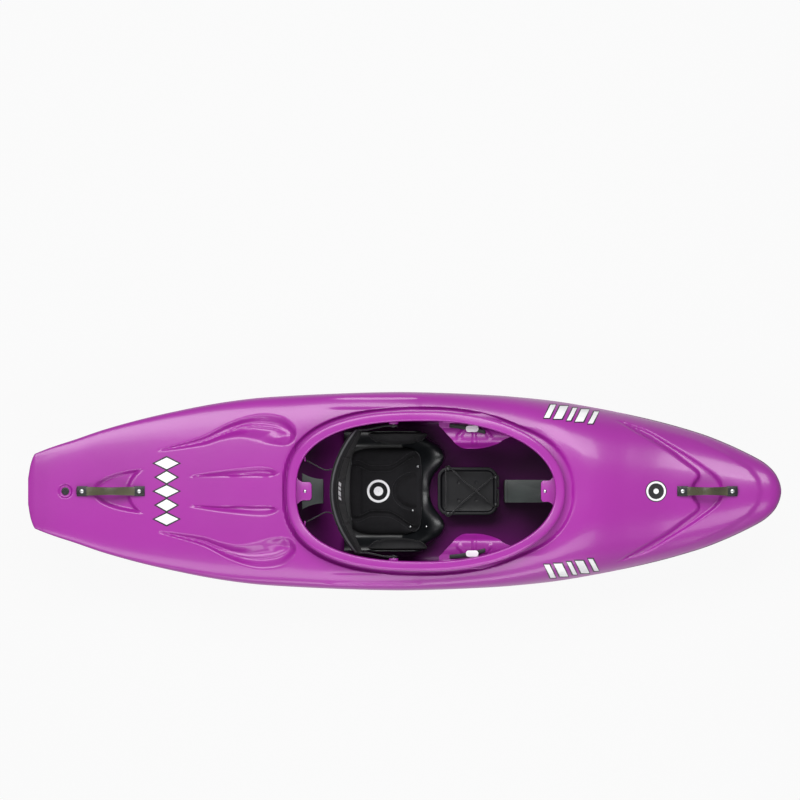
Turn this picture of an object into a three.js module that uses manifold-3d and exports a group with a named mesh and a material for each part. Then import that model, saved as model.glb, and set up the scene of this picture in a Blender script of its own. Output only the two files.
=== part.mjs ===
// A half-slice whitewater kayak: one moulded shell with its cockpit rim,
// grab handles, drain plug and outfitting.
// Millimetres. +X to the bow, +Y to port, +Z up. The origin is under the middle of the hull, on the ground.
import * as THREE from 'three';
import { mergeVertices } from 'three/addons/utils/BufferGeometryUtils.js';
import Module from 'manifold-3d';

const wasm = await Module();
wasm.setup();

// Hull
const hullLength = 2530;
const hullBeam = 670;
const hullHeight = 400;
const hullWall = 5;
const recessWall = 10;
const clearance = 0.3;
const cutOverrun = 40;
const gunwaleBand = 12;

// Along the hull from the stern: share of the length, then half-breadth as a share of half the beam, then
// the heights of keel, gunwale and deck as shares of the hull's height, and the fullness of the deck's arch.
const stationShares = [
  [0.000, 0.15, 0.755, 0.765, 0.775, 3.0],
  [0.004, 0.31, 0.742, 0.763, 0.780, 3.0],
  [0.011, 0.38, 0.730, 0.760, 0.784, 3.0],
  [0.030, 0.435, 0.690, 0.745, 0.787, 3.2],
  [0.060, 0.51, 0.627, 0.712, 0.770, 3.4],
  [0.100, 0.615, 0.550, 0.665, 0.735, 3.4],
  [0.150, 0.722, 0.437, 0.610, 0.703, 3.4],
  [0.200, 0.81, 0.330, 0.562, 0.682, 3.5],
  [0.250, 0.883, 0.238, 0.532, 0.680, 3.7],
  [0.300, 0.934, 0.170, 0.508, 0.697, 4.0],
  [0.350, 0.961, 0.118, 0.483, 0.715, 4.6],
  [0.400, 0.980, 0.065, 0.457, 0.718, 5.4],
  [0.450, 0.994, 0.018, 0.433, 0.732, 6.0],
  [0.475, 0.998, 0.000, 0.421, 0.745, 6.0],
  [0.500, 1.000, 0.000, 0.412, 0.762, 6.0],
  [0.550, 0.992, 0.000, 0.401, 0.812, 6.0],
  [0.600, 0.976, 0.000, 0.395, 0.875, 5.6],
  [0.640, 0.957, 0.000, 0.396, 0.930, 4.8],
  [0.700, 0.910, 0.038, 0.406, 0.990, 3.4],
  [0.750, 0.848, 0.070, 0.420, 0.983, 2.8],
  [0.800, 0.773, 0.128, 0.447, 0.928, 2.5],
  [0.850, 0.682, 0.208, 0.495, 0.885, 2.35],
  [0.900, 0.567, 0.325, 0.567, 0.880, 2.25],
  [0.930, 0.475, 0.425, 0.627, 0.890, 2.2],
  [0.955, 0.374, 0.522, 0.692, 0.907, 2.15],
  [0.975, 0.272, 0.630, 0.750, 0.913, 2.1],
  [0.985, 0.207, 0.705, 0.785, 0.912, 2.1],
  [0.993, 0.127, 0.780, 0.820, 0.900, 2.0],
  [1.000, 0.020, 0.838, 0.850, 0.862, 2.0],
];
// Where the skin's sections stand, and which of them the cavity shares
const loftStationShares = [
  0, 0.004, 0.011, 0.035, 0.07, 0.11, 0.15, 0.19, 0.23, 0.27, 0.305, 0.34, 0.375, 0.405, 0.435, 0.475,
  0.51, 0.545, 0.58, 0.61, 0.64, 0.67, 0.7, 0.73, 0.765, 0.8, 0.835, 0.87, 0.905, 0.935, 0.958, 0.975,
  0.988, 0.996, 1,
];
const cavityStationShares = [
  0.035, 0.07, 0.15, 0.23, 0.305, 0.375, 0.435, 0.475, 0.545, 0.61, 0.64, 0.7, 0.765, 0.835, 0.905,
  0.958, 0.975,
];
// Where the lower chine and the edge of the flat bottom lie, from stern to bow: share of the length, then
// height as a share of keel to gunwale and breadth as a share of the half-breadth.
const chineShares = [
  [0, 0.5, 0.97, 0.15, 0.8],
  [0.2, 0.38, 0.96, 0.16, 0.86],
  [0.45, 0.4, 0.95, 0.15, 0.84],
  [0.65, 0.36, 0.93, 0.13, 0.8],
  [0.8, 0.29, 0.86, 0.12, 0.66],
  [0.93, 0.2, 0.72, 0.09, 0.42],
  [1, 0.16, 0.6, 0.08, 0.3],
];
const flatBottomShare = 0.85;
const deckSteps = 7;

// Cockpit rim
const rimLength = 934;
const rimWidth = 537;
const rimMiddleX = 71;
const rimRearX = rimMiddleX - rimLength / 2;
const rimFrontX = rimMiddleX + rimLength / 2;
const rimLip = 26;
const rimLipDepth = 18;
const neckWall = 7;
const neckRoot = 9;
const rimFrontPower = 2.1;
const rimRearPower = 2.6;
const rimSteps = 40;
const moatCavitySteps = 24;
const moatWall = 6;
// Height of the rim's top from its rear to its front end: share of its length, share of the hull's height
const rimTopShares = [
  [0, 0.785], [0.06, 0.812], [0.17, 0.837], [0.28, 0.848], [0.39, 0.873], [0.5, 0.932], [0.61, 0.983],
  [0.72, 1.035], [0.83, 1.06], [0.885, 1.066], [0.94, 1.056], [1, 1.03],
];
const moatDepth = 13;
const moatWidth = 42;

// Deck recesses
const scoopLength = 470;
const scoopWidth = 128;
const scoopTailReach = 436;
const scoopTailX = rimRearX - scoopTailReach;
const scoopTailY = 136;
const scoopDepth = 20;
const scoopSlope = 8;
const grooveLength = 296;
const grooveWidth = 36;
const grooveTailReach = 328;
const grooveTailX = rimRearX - grooveTailReach;
const grooveTailY = 49;
const grooveDepth = 13;
const grooveSlope = 5;
const bowGrooveLength = 353;
const bowGrooveWidth = 226;
const bowGrooveTailInset = 553;
const bowGrooveTailX = hullLength / 2 - bowGrooveTailInset;
const bowGrooveHeadY = 14;
const bowGrooveDepth = 13;
const bowGrooveSlope = 6;
const drainInset = 125;
const drainX = drainInset - hullLength / 2;
const drainRecessRadius = 23;
const drainRecessDepth = 7;
// Outlines seen from above, port side: along from the tail and across from the inner side.
const scoopOutlineShares = [
  [0, 0], [0.31, 0.36], [0.5, 0.72], [0.65, 0.93], [0.776, 1], [0.895, 0.92], [0.97, 0.7], [1, 0.49],
  [0.985, 0.3], [0.916, 0.15], [0.776, 0.18], [0.6, 0.34], [0.455, 0.27], [0.31, 0.12],
];
const grooveOutlineShares = [
  [0, 0], [0.133, 0.3], [0.442, 0.7], [0.75, 1], [0.905, 0.92], [1, 0.45], [0.93, 0.08], [0.7, 0.02],
  [0.35, 0.04],
];
const bowGrooveOutlineShares = [
  [0, 1], [0.28, 0.84], [0.51, 0.68], [0.69, 0.49], [0.785, 0.33], [0.785, 0.17], [0.86, 0], [1, 0.02],
  [0.95, 0.17], [0.87, 0.31], [0.73, 0.52], [0.49, 0.78], [0.25, 0.93],
];

// Grab handles
const handleWidth = 28;
const handleThickness = 10;
const handleFootLength = 36;
const handleFootWidth = 34;
const handleFootHeight = 9;
const handleFootSink = 5;
const handleSteps = 12;
const handleScrewRadius = 3.5;
const handleScrewHeadRadius = 8.5;
const handleScrewHeadHeight = 4;
const handleScrewLength = 26;
const sternHandleInset = 181;
const sternHandleSpan = 191;
const sternHandleRise = 23;
const bowHandleInset = 166;
const bowHandleSpan = 166;
const bowHandleRise = 33;
const sternHandleX = sternHandleInset - hullLength / 2;
const bowHandleX = hullLength / 2 - bowHandleInset - bowHandleSpan;
const sternHandle = {
  name: 'stern_handle', rearX: sternHandleX, frontX: sternHandleX + sternHandleSpan, rise: sternHandleRise,
};
const bowHandle = {
  name: 'bow_handle', rearX: bowHandleX, frontX: bowHandleX + bowHandleSpan, rise: bowHandleRise,
};
const sternFanLength = 172;
const sternFanHalfWidth = 78;
const sternFanDepth = 14;
const sternFanTipReach = 38;
const bowFanLength = 106;
const bowFanHalfWidth = 60;
const bowFanDepth = 13;
const bowFanTipReach = 25;
const fanSlope = 5;

// Drain plug
const plugHeadRadius = 10.5;
const plugHeadHeight = 6;
const plugFlangeRadius = 13;
const plugFlangeHeight = 2.5;
const plugShankRadius = 7;
const plugShankLength = 14;
const plugSlotWidth = 3;
const plugSlotDepth = 3;
const gasketHeight = 2;
const roundSides = 16;
const boltSides = 10;

// Seat
const seatRearReach = 276;
const seatLength = 333;
const seatSaddleInset = 50;
const seatCornerInset = 78;
const seatSideGap = 63.5;
const seatRearX = rimMiddleX - seatRearReach;
const seatFrontX = seatRearX + seatLength;
const seatSaddleX = seatFrontX - seatSaddleInset;
const seatCornerX = seatFrontX - seatCornerInset;
const seatHalfWidth = rimWidth / 2 - seatSideGap;
const seatSheet = 6;
const seatBaseZ = 42;
const seatSideRise = 34;
const lobeRise = 92;
const lobeDrop = 62;
const lobeCentreShare = 0.58;
const saddleShare = 0.42;
const seatRailY = 110;
const seatRailWidth = 26;
const seatRailRearReach = 17;
const seatRailFrontInset = 36;
const seatRailRearX = seatRearX - seatRailRearReach;
const seatRailFrontX = seatFrontX - seatRailFrontInset;
const hipPlateRearInset = 77;
const hipPlateLength = 190;
const hipPlateRearX = seatRearX + hipPlateRearInset;
const hipPlateFrontX = hipPlateRearX + hipPlateLength;
const hipPlateTopZ = 196;
const hipPlateThickness = 5;
const hipPadRearInset = 6;
const hipPadFrontReach = 16;
const hipPadTopReach = 10;
const hipPadRearX = hipPlateRearX + hipPadRearInset;
const hipPadFrontX = hipPlateFrontX + hipPadFrontReach;
const hipPadBottomZ = 92;
const hipPadTopZ = hipPlateTopZ + hipPadTopReach;
const hipPadThickness = 44;
const hipPadLift = 6;
const hipPadRound = 18;
const padRearInset = 19;
const padFrontInset = 16;
const padRearX = seatRearX + padRearInset;
const padFrontX = seatSaddleX - padFrontInset;
const padHalfWidth = 150;
const padThickness = 20;
const padCrown = 9;
const padLift = 3;
const padChannelDepth = 5;
const padChannelWidth = 11;
const padChannelY = 76;
const padChannelSpread = 52;
const padSpreadLength = 130;
const padEndBow = 10;
const studRadius = 5;
const studHeight = 3;
// Studs on the front of the seat: share of the pad's length and half-width, name, what each sits on
const studShares = [
  [0.935, 0.56, 'left', 'pad'], [0.863, -0.44, 'right_inner', 'pad'],
  [1.048, -0.807, 'right_front', 'pan'], [0.831, -0.813, 'right_rear', 'pad'],
];

// Pillars
const frontPillarRearInset = 197;
const frontPillarFrontReach = 102;
const frontCapInset = 38;
const frontTongueInset = 80;
const frontTongueDrop = 43.87;
const frontBoltInset = 66;
const frontPillarRearX = rimFrontX - frontPillarRearInset;
const frontPillarFrontX = rimFrontX + frontPillarFrontReach;
const frontCapFrontX = rimFrontX - frontCapInset;
const frontTongueRearX = rimFrontX - frontTongueInset;
const frontBoltX = rimFrontX - frontBoltInset;
const rearPillarFrontInset = 120;
const rearPillarRearReach = 404;
const rearTongueInset = 84;
const rearTongueDrop = 23.77;
const rearCapInset = 51;
const rearBoltInset = 61;
const rearPillarFrontX = rimRearX + rearPillarFrontInset;
const rearPillarRearX = rimRearX - rearPillarRearReach;
const rearTongueFrontX = rimRearX + rearTongueInset;
const rearCapRearX = rimRearX + rearCapInset;
const rearBoltX = rimRearX + rearBoltInset;
const frontPillarHalfWidth = 35;
const pillarCapThickness = 8;
const pillarCapOverhang = 3;
const tongueThickness = 7;
const frontTongueHalfWidth = 44;
const rearPillarHalfWidth = 32;
const rearFlareHalfWidth = 62;
const pillarRoof = 4;
const pillarBoltRadius = 4;
const pillarBoltHeadRadius = 6;
const pillarBoltHeadHeight = 4;
const pillarBoltLength = 28;
const rearPillarRoof = 6;

// Gear tray
const trayRearInset = 14;
const trayPillarGap = 23;
const trayRearX = seatFrontX - trayRearInset;
const trayFrontX = frontPillarRearX - trayPillarGap;
const trayHalfWidth = 82;
const trayTopZ = 112;
const trayCorner = 36;
const trayWall = 5;
const trayRecess = 16;
const trayEdge = 11;
const trayHookRadius = 5.5;
const trayHookHeight = 12;
const trayCordDiameter = 5;
const trayCordSteps = 60;
// The cord's route over the tray: x, y and how far it rises over the run that it crosses.
const trayCordRoute = [
  [320.5, 14, 0], [320.5, 44, 0], [316, 53, 0], [307, 52, 0], [280, 29, 0], [250.6, 5, 0],
  [200, -38, 0], [158, -80, 0], [150, -84.5, 0], [142, -76.5, 0], [142, -30, 0], [142, 30, 0],
  [142, 76.5, 0], [150, 84.5, 0], [158, 80, 0], [200, 38, 1.5], [232, 12, 5.6], [250.6, -5, 5.6],
  [276, -26, 1.5], [307, -52, 0],
  [316, -53, 0], [320.5, -44, 0], [320.5, 6, 0],
];

// Back band
const bandRearInset = 170;
const bandCentreX = rimRearX + bandRearInset;
const bandSweep = 72;
const bandSideGap = 62.5;
const bandHalfWidth = rimWidth / 2 - bandSideGap;
const bandPinLift = 6;
const bandHeight = 156;
const bandEndHeight = 84;
const bandLean = 34;
const bandThickness = 26;
const strapThickness = 3;
const strapHeight = 25;
const anchorReach = 107;
const anchorDrop = 52.57;
const anchorX = rimMiddleX - anchorReach;
const anchorPinRadius = 4;
const anchorLugHalfLength = 16;
const anchorLugDrop = 16;
const anchorLugInset = 42.5;
const anchorLugY = rimWidth / 2 - anchorLugInset;
const anchorLugThickness = 9;
const bandCordDiameter = 4;
const anchorPinHeadHeight = 3.5;
const bandCordInset = 64;
const bandCordNeckGap = 16.53;
const bandCordDrop = 29.83;
const bandCordRoute = [
  [-331, 104, 256], [-322, 100, 256], [-300, 88, 255], [-280, 77, 256], [-262, 71, 258], [-246, 74, 260],
  [-232.4, 79, 262],
];

// Thigh braces
const braceRearInset = 420;
const braceFrontInset = 172;
const braceReachInset = 122.5;
const braceRootInset = 18.5;
const braceRearX = rimFrontX - braceRearInset;
const braceFrontX = rimFrontX - braceFrontInset;
const braceReachY = rimWidth / 2 - braceReachInset;
const braceRootY = rimWidth / 2 - braceRootInset;
const braceSheet = 6;
const braceHook = 26;
const braceSlope = 0.2;
const braceDeckDrop = 25.81;
const braceTravel = [-20, 20];
const braceSwell = 8;
const braceSwellInset = 56.5;
const braceNeckInset = 46.5;
const braceSwellY = rimWidth / 2 - braceSwellInset;
const braceNeckY = rimWidth / 2 - braceNeckInset;
const bracePadGap = 4.2;
const braceBoltLift = 2;
const braceLedgeThickness = 34;
const braceLedgeInnerInset = 39.5;
const braceLedgeOuterInset = 6.5;
const braceLedgeEndInset = 10;
const braceStripRearInset = 34;
const braceStripLength = 120;
const braceLedgeInnerY = rimWidth / 2 - braceLedgeInnerInset;
const braceLedgeOuterY = rimWidth / 2 - braceLedgeOuterInset;
const braceLedgeRearX = braceRearX + braceLedgeEndInset;
const braceLedgeFrontX = braceFrontX - braceLedgeEndInset;
const braceStripRearX = braceRearX + braceStripRearInset;
const braceStripFrontX = braceStripRearX + braceStripLength;
const braceStripWidth = 14;
const braceStripHeight = 6;
const braceStripGap = 1.6;
const bracePadThickness = 10;
const braceBoltRearInset = 118;
const braceBoltReachInset = 26;
const braceBoltX = braceRearX + braceBoltRearInset;
const braceBoltY = braceReachY + braceBoltReachInset;
// How far a brace's edge reaches inwards along its length, from the neck to its full reach
const braceReachShares = [
  [0, 0.02], [0.11, 0.42], [0.25, 0.83], [0.38, 1], [0.6, 0.95], [0.79, 0.77], [0.9, 0.6], [1, 0.48],
];

// Foot rest
const footRailSideGap = 35.55;
const footRailThickness = 4;
const footRailHeight = 30;
const footRailReach = 332;
const footRailBendReach = 90;
const footPlateReach = 214;
const footRailFrontX = rimFrontX + footRailReach;
const footRailBendX = rimFrontX + footRailBendReach;
const footPlateX = rimFrontX + footPlateReach;
const footRailLift = 105.44;
const footPlateThickness = 6;
const footPlateFloorGap = 41.44;
const footPlateDeckGap = 96.52;
const footPlateRailInset = 40;
const footShoeLength = 40;
const footFoamThickness = 25;
const footFoamInset = 8;
const sideBoltRadius = 4;
const sideBoltHeadRadius = 12.5;
const sideBoltHeadHeight = 4.5;
const sideBoltNutRadius = 9;
const sideBoltInset = 58;
const sideBoltSpacing = 54;
const sideBoltRise = 5;
const sideBoltHeightShare = 0.3325;
const sideBoltX = rimFrontX - sideBoltInset;
const sideBoltZ = sideBoltHeightShare * hullHeight;
const sideBolts = [
  { x: sideBoltX, z: sideBoltZ },
  { x: sideBoltX + sideBoltSpacing, z: sideBoltZ + sideBoltRise },
];
const boltRecessLength = 96;
const boltRecessHeight = 36;
const boltRecessDepth = 5;

// Finishes
const purple = { color: 0xa828a5, roughness: 0.3, metalness: 0 };
const blackPlastic = { color: 0x18191b, roughness: 0.4, metalness: 0 };
const blackFoam = { color: 0x131416, roughness: 0.9, metalness: 0 };
const greyFoam = { color: 0x2c3330, roughness: 0.85, metalness: 0 };
const oliveGrip = { color: 0x32362b, roughness: 0.45, metalness: 0 };
const rubber = { color: 0x101010, roughness: 0.75, metalness: 0 };
const steel = { color: 0xc2c4c6, roughness: 0.3, metalness: 1 };
const aluminium = { color: 0x9a9ca0, roughness: 0.4, metalness: 1 };
const webbing = { color: 0x151517, roughness: 0.85, metalness: 0 };
const cordFinish = { color: 0x0f0f10, roughness: 0.8, metalness: 0 };

const kayak = new THREE.Group();

// Solids: closed meshes facing out, which can be joined and cut.
function closed(geometry) {
  geometry.deleteAttribute('normal');
  geometry.deleteAttribute('uv');
  return mergeVertices(geometry.index ? geometry.toNonIndexed() : geometry, clearance / hullLength);
}

function asSolid(geometry) {
  const merged = closed(geometry);
  const mesh = new wasm.Mesh({
    numProp: 3,
    vertProperties: new Float32Array(merged.attributes.position.array),
    triVerts: new Uint32Array(merged.index.array),
  });
  mesh.merge();
  const solid = new wasm.Manifold(mesh);
  if (solid.volume() > 0) return solid;
  const turned = new Uint32Array(merged.index.array);
  for (let i = 0; i < turned.length; i += 3) [turned[i], turned[i + 1]] = [turned[i + 1], turned[i]];
  const outward = new wasm.Mesh({
    numProp: 3,
    vertProperties: new Float32Array(merged.attributes.position.array),
    triVerts: turned,
  });
  outward.merge();
  return new wasm.Manifold(outward);
}

function asGeometry(solid) {
  const mesh = solid.getMesh();
  const geometry = new THREE.BufferGeometry();
  geometry.setAttribute('position', new THREE.BufferAttribute(new Float32Array(mesh.vertProperties), 3));
  geometry.setIndex(new THREE.BufferAttribute(new Uint32Array(mesh.triVerts), 1));
  geometry.computeVertexNormals();
  return geometry;
}

function addPiece(name, solid, finish) {
  const mesh = new THREE.Mesh(asGeometry(solid), new THREE.MeshStandardMaterial(finish));
  mesh.name = name;
  kayak.add(mesh);
}

// A smooth curve through the rows of a table, whose first column is the place along.
function through(rows) {
  const columns = rows[0].length - 1;
  const places = rows.map((row) => row[0]);
  const values = rows.flatMap((row) => row.slice(1));
  const curve = new THREE.CubicInterpolant(places, values, columns, new Float64Array(columns));
  return (place) => Array.from(curve.evaluate(THREE.MathUtils.clamp(place, places[0], places.at(-1))));
}

// A closed skin over a row of sections, which have as many points each.
function loft(sections) {
  const rows = sections.length - 1;
  const columns = sections[0].length;
  const geometry = new THREE.CylinderGeometry(1, 1, 1, columns, rows);
  const position = geometry.attributes.position;
  const middles = sections.map((section) => {
    const sum = section.reduce((total, point) => total.add(point), new THREE.Vector3());
    return sum.divideScalar(columns);
  });
  const at = new THREE.Vector3();
  for (let i = 0; i < position.count; i += 1) {
    at.fromBufferAttribute(position, i);
    const row = Math.round((at.y + 0.5) * rows);
    const turn = Math.atan2(at.x, at.z) / (2 * Math.PI);
    const column = (Math.round((turn + 1) * columns)) % columns;
    const onSkin = Math.hypot(at.x, at.z) > 0.5;
    const place = onSkin ? sections[row][column] : middles[row];
    position.setXYZ(i, place.x, place.y, place.z);
  }
  return asSolid(geometry);
}

// A closed skin over a ring of sections.
function ringLoft(sections) {
  const rings = sections.length;
  const sides = sections[0].length;
  const geometry = new THREE.TorusGeometry(2, 1, sides, rings);
  const position = geometry.attributes.position;
  for (let j = 0; j <= sides; j += 1) {
    for (let i = 0; i <= rings; i += 1) {
      const place = sections[i % rings][j % sides];
      position.setXYZ(j * (rings + 1) + i, place.x, place.y, place.z);
    }
  }
  return asSolid(geometry);
}

// A panel: a box whose two broad faces are moved onto two surfaces. Both take shares from 0 to 1.
function panel(columns, rows, lower, upper) {
  const geometry = new THREE.BoxGeometry(1, 1, 1, columns, rows, 1);
  const position = geometry.attributes.position;
  for (let i = 0; i < position.count; i += 1) {
    const surface = position.getZ(i) < 0 ? lower : upper;
    const place = surface(position.getX(i) + 0.5, position.getY(i) + 0.5);
    position.setXYZ(i, place.x, place.y, place.z);
  }
  return asSolid(geometry);
}

function block(lowX, lowY, lowZ, highX, highY, highZ) {
  const geometry = new THREE.BoxGeometry(highX - lowX, highY - lowY, highZ - lowZ);
  geometry.translate((lowX + highX) / 2, (lowY + highY) / 2, (lowZ + highZ) / 2);
  return asSolid(geometry);
}

// A turned piece: its profile in (radius, height) from the axis back to the axis, standing on +Z.
function turned(profile, sides = roundSides) {
  const points = profile.map(([radius, height]) => new THREE.Vector2(radius, height));
  const geometry = new THREE.LatheGeometry(points, sides);
  geometry.rotateX(Math.PI / 2);
  return asSolid(geometry);
}

function disc(radius, low, high, sides = roundSides) {
  return turned([[0, low], [radius, low], [radius, high], [0, high]], sides);
}

function extruded(shape, depth, bevel = {}) {
  const settings = { depth, bevelEnabled: false, curveSegments: 6, ...bevel };
  return asSolid(new THREE.ExtrudeGeometry(shape, settings));
}

// An outline in the XZ plane, given a thickness across Y about the middle.
function sideCut(points, halfWidth) {
  const shape = new THREE.Shape(points.map(([x, z]) => new THREE.Vector2(x, z)));
  const geometry = new THREE.ExtrudeGeometry(shape, { depth: 2 * halfWidth, bevelEnabled: false });
  geometry.rotateX(Math.PI / 2);
  geometry.translate(0, halfWidth, 0);
  return asSolid(geometry);
}

function moved(solid, x, y, z) {
  return solid.translate([x, y, z]);
}

function mirrored(solid) {
  return solid.mirror([0, 1, 0]);
}

function cord(points, diameter, steps) {
  const places = points.map(([x, y, z]) => new THREE.Vector3(x, y, z));
  const path = new THREE.CatmullRomCurve3(places, false, 'centripetal');
  const section = new THREE.Shape();
  section.absarc(0, 0, diameter / 2, 0, 2 * Math.PI);
  const options = { steps, curveSegments: 4, extrudePath: path, bevelEnabled: false };
  return asSolid(new THREE.ExtrudeGeometry(section, options));
}

function smoothStep(low, high, value) {
  return THREE.MathUtils.smoothstep(value, low, high);
}

// Hull lines
const stationCurve = through(stationShares);
const chineCurve = through(chineShares);
const rimTopCurve = through(rimTopShares);

const alongOf = (x) => x / hullLength + 0.5;
const xOf = (along) => (along - 0.5) * hullLength;

function smoothStation(along) {
  const [half, keel, gunwale, deck, fullness] = stationCurve(along);
  const [chineUp, chineOut, edgeUp, edgeOut] = chineCurve(along);
  return {
    half: half * hullBeam / 2,
    keel: Math.max(0, keel) * hullHeight,
    gunwale: gunwale * hullHeight,
    deck: deck * hullHeight,
    fullness, chineUp, chineOut, edgeUp, edgeOut,
  };
}

// The skin is straight between the stations of the loft, so its sizes are too.
const skinStations = loftStationShares.map((along) => ({ along, ...smoothStation(along) }));
const cavityStations = cavityStationShares.map((along) => ({ along, ...smoothStation(along) }));

function stationAt(x, stations) {
  const along = THREE.MathUtils.clamp(alongOf(x), stations[0].along, stations.at(-1).along);
  const next = Math.max(1, stations.findIndex((station) => station.along >= along));
  const [from, to] = [stations[next - 1], stations[next]];
  const share = (along - from.along) / (to.along - from.along);
  const names = Object.keys(from);
  return Object.fromEntries(names.map((name) => [name, THREE.MathUtils.lerp(from[name], to[name], share)]));
}

// Half of a section, from the keel up to the middle of the deck, drawn in by an inset for the cavity
function halfSection(station, inset) {
  const half = station.half - inset;
  const keel = station.keel + inset;
  const deck = station.deck - inset;
  const gunwale = station.gunwale;
  const band = Math.min(gunwaleBand, (deck - keel) / 4) / 2;
  const low = gunwale - band - keel;
  const sideOut = half * (station.chineOut + 1) / 2 + (1 - station.chineOut) * half / 8;
  const points = [
    [0, keel],
    [half * station.edgeOut * flatBottomShare, keel],
    [half * station.edgeOut, keel + low * station.edgeUp],
    [half * station.chineOut, keel + low * station.chineUp],
    [sideOut, keel + low * (station.chineUp + 1) / 2],
    [half, gunwale - band],
  ];
  for (let i = 0; i <= deckSteps; i += 1) {
    const angle = (i / deckSteps) * Math.PI / 2;
    const power = 2 / station.fullness;
    const across = half * Math.max(0, Math.cos(angle)) ** power;
    points.push([across, gunwale + band + (deck - gunwale - band) * Math.sin(angle) ** power]);
  }
  points[points.length - 1][0] = 0;
  return points;
}

function wholeSection(station, inset) {
  const half = halfSection(station, inset);
  const x = xOf(station.along);
  const port = half.map(([y, z]) => new THREE.Vector3(x, y, z));
  const starboard = half.slice(1, -1).reverse().map(([y, z]) => new THREE.Vector3(x, -y, z));
  return [...port, ...starboard];
}

// A half-section of the skin or, where it is drawn in by the wall, of the cavity
function sectionAt(x, inset) {
  return halfSection(stationAt(x, inset > 0 ? cavityStations : skinStations), inset);
}

// Height of the outer or inner deck over a place, from the straight sides of the section there.
function deckAt(x, y, inset = 0) {
  const half = sectionAt(x, inset);
  const across = Math.abs(y);
  for (let i = half.length - 1; i > 0; i -= 1) {
    const [outer, inner] = [half[i - 1], half[i]];
    if (across >= inner[0] && across <= outer[0]) {
      return THREE.MathUtils.mapLinear(across, inner[0], outer[0], inner[1], outer[1]);
    }
  }
  return half.at(-1)[1];
}

const floorAt = (x) => sectionAt(x, hullWall)[0][1];

// Cockpit outline, drawn in from the rim's edge
function ovalAt(turn, inset) {
  const angle = turn * 2 * Math.PI;
  const power = 2 / (Math.cos(angle) > 0 ? rimFrontPower : rimRearPower);
  const along = Math.sign(Math.cos(angle)) * Math.abs(Math.cos(angle)) ** power;
  const across = Math.sign(Math.sin(angle)) * Math.abs(Math.sin(angle)) ** power;
  return { x: rimMiddleX + (rimLength / 2 - inset) * along, y: (rimWidth / 2 - inset) * across };
}

const neckInset = rimLip;
const openingInset = rimLip + neckWall;

function rimTopAt(x) {
  return rimTopCurve((x - rimRearX) / rimLength)[0] * hullHeight;
}

function openingHalfWidthAt(x) {
  const along = (x - rimMiddleX) / (rimLength / 2 - openingInset);
  const power = along > 0 ? rimFrontPower : rimRearPower;
  return (rimWidth / 2 - openingInset) * (1 - Math.abs(along) ** power) ** (1 / power);
}

// Places inside the boat that hang from its deck or stand on its floor
const frontTongueZ = deckAt(rimFrontX - openingInset, 0) - frontTongueDrop;
const rearTongueZ = deckAt(rimRearX + openingInset, 0) - rearTongueDrop;
const braceRootZ = deckAt(braceRearX, braceLedgeOuterY) - braceDeckDrop;
const anchorZ = deckAt(anchorX, anchorLugY) - anchorDrop;
const bandCentreZ = anchorZ + bandPinLift;
const bandCordX = rimRearX + bandCordInset;
const bandCordY = openingHalfWidthAt(bandCordX) - bandCordNeckGap;
const bandCordStart = [bandCordX, bandCordY, deckAt(bandCordX, bandCordY) - bandCordDrop];
const footPlateBottomZ = floorAt(footPlateX) + footPlateFloorGap;
const footPlateTopZ = deckAt(footPlateX, 0) - footPlateDeckGap;
const footRailZ = floorAt(footPlateX) + footRailLift;
const drainFloorZ = deckAt(drainX, 0) - drainRecessDepth;
const plugHole = () => disc(plugShankRadius + clearance, -cutOverrun, cutOverrun);

// The rim: a neck that stands on the deck and a lip that turns outwards and down.
function makeRim() {
  const profile = [
    [openingInset, 'root', -neckRoot - moatDepth],
    [openingInset, 'top', -rimLip / 8],
    [openingInset - neckWall / 3, 'top', 0],
    [rimLip / 3, 'top', 0],
    [0, 'top', -rimLipDepth / 3],
    [rimLip / 12, 'top', -rimLipDepth],
    [rimLip / 3, 'top', -rimLipDepth],
    [neckInset, 'top', -rimLipDepth * 0.75],
    [neckInset, 'root', -neckRoot - moatDepth],
  ];
  const sections = [];
  for (let i = 0; i < rimSteps; i += 1) {
    const neck = ovalAt(i / rimSteps, neckInset);
    const base = deckAt(neck.x, neck.y);
    const top = rimTopAt(ovalAt(i / rimSteps, 0).x);
    sections.push(profile.map(([inset, from, rise]) => {
      const place = ovalAt(i / rimSteps, inset);
      return new THREE.Vector3(place.x, place.y, (from === 'top' ? top : base) + rise);
    }));
  }
  return ringLoft(sections);
}

// The moat: a shallow trough in the deck around the neck, deeper by the wall where the cavity is drawn in.
function makeMoat(growth) {
  const sections = [];
  const steps = growth > 0 ? moatCavitySteps : rimSteps;
  for (let i = 0; i < steps; i += 1) {
    const turn = i / steps;
    const corners = [
      [openingInset + growth, -moatDepth - growth],
      [neckInset - moatWidth / 3, -moatDepth - growth],
      [neckInset - moatWidth - growth, -growth],
      [neckInset - moatWidth / 2, cutOverrun],
    ];
    sections.push(corners.map(([inset, rise]) => {
      const place = ovalAt(turn, inset);
      return new THREE.Vector3(place.x, place.y, deckAt(place.x, place.y) + rise);
    }));
  }
  return ringLoft(sections);
}

function makeOpening() {
  const shape = new THREE.Shape();
  for (let i = 0; i < rimSteps; i += 1) {
    const place = ovalAt(i / rimSteps, neckInset + neckWall / 2);
    if (i === 0) shape.moveTo(place.x, place.y);
    else shape.lineTo(place.x, place.y);
  }
  return moved(extruded(shape, hullHeight), 0, 0, hullHeight / 2);
}

const sternFan = {
  tipX: sternHandleX + sternFanTipReach, endX: sternHandleX + sternFanTipReach + sternFanLength,
  halfWidth: sternFanHalfWidth, depth: sternFanDepth, slope: fanSlope,
};
const bowFan = {
  tipX: bowHandleX + bowFanTipReach, endX: bowHandleX + bowFanTipReach + bowFanLength,
  halfWidth: bowFanHalfWidth, depth: bowFanDepth, slope: fanSlope,
};

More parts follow.
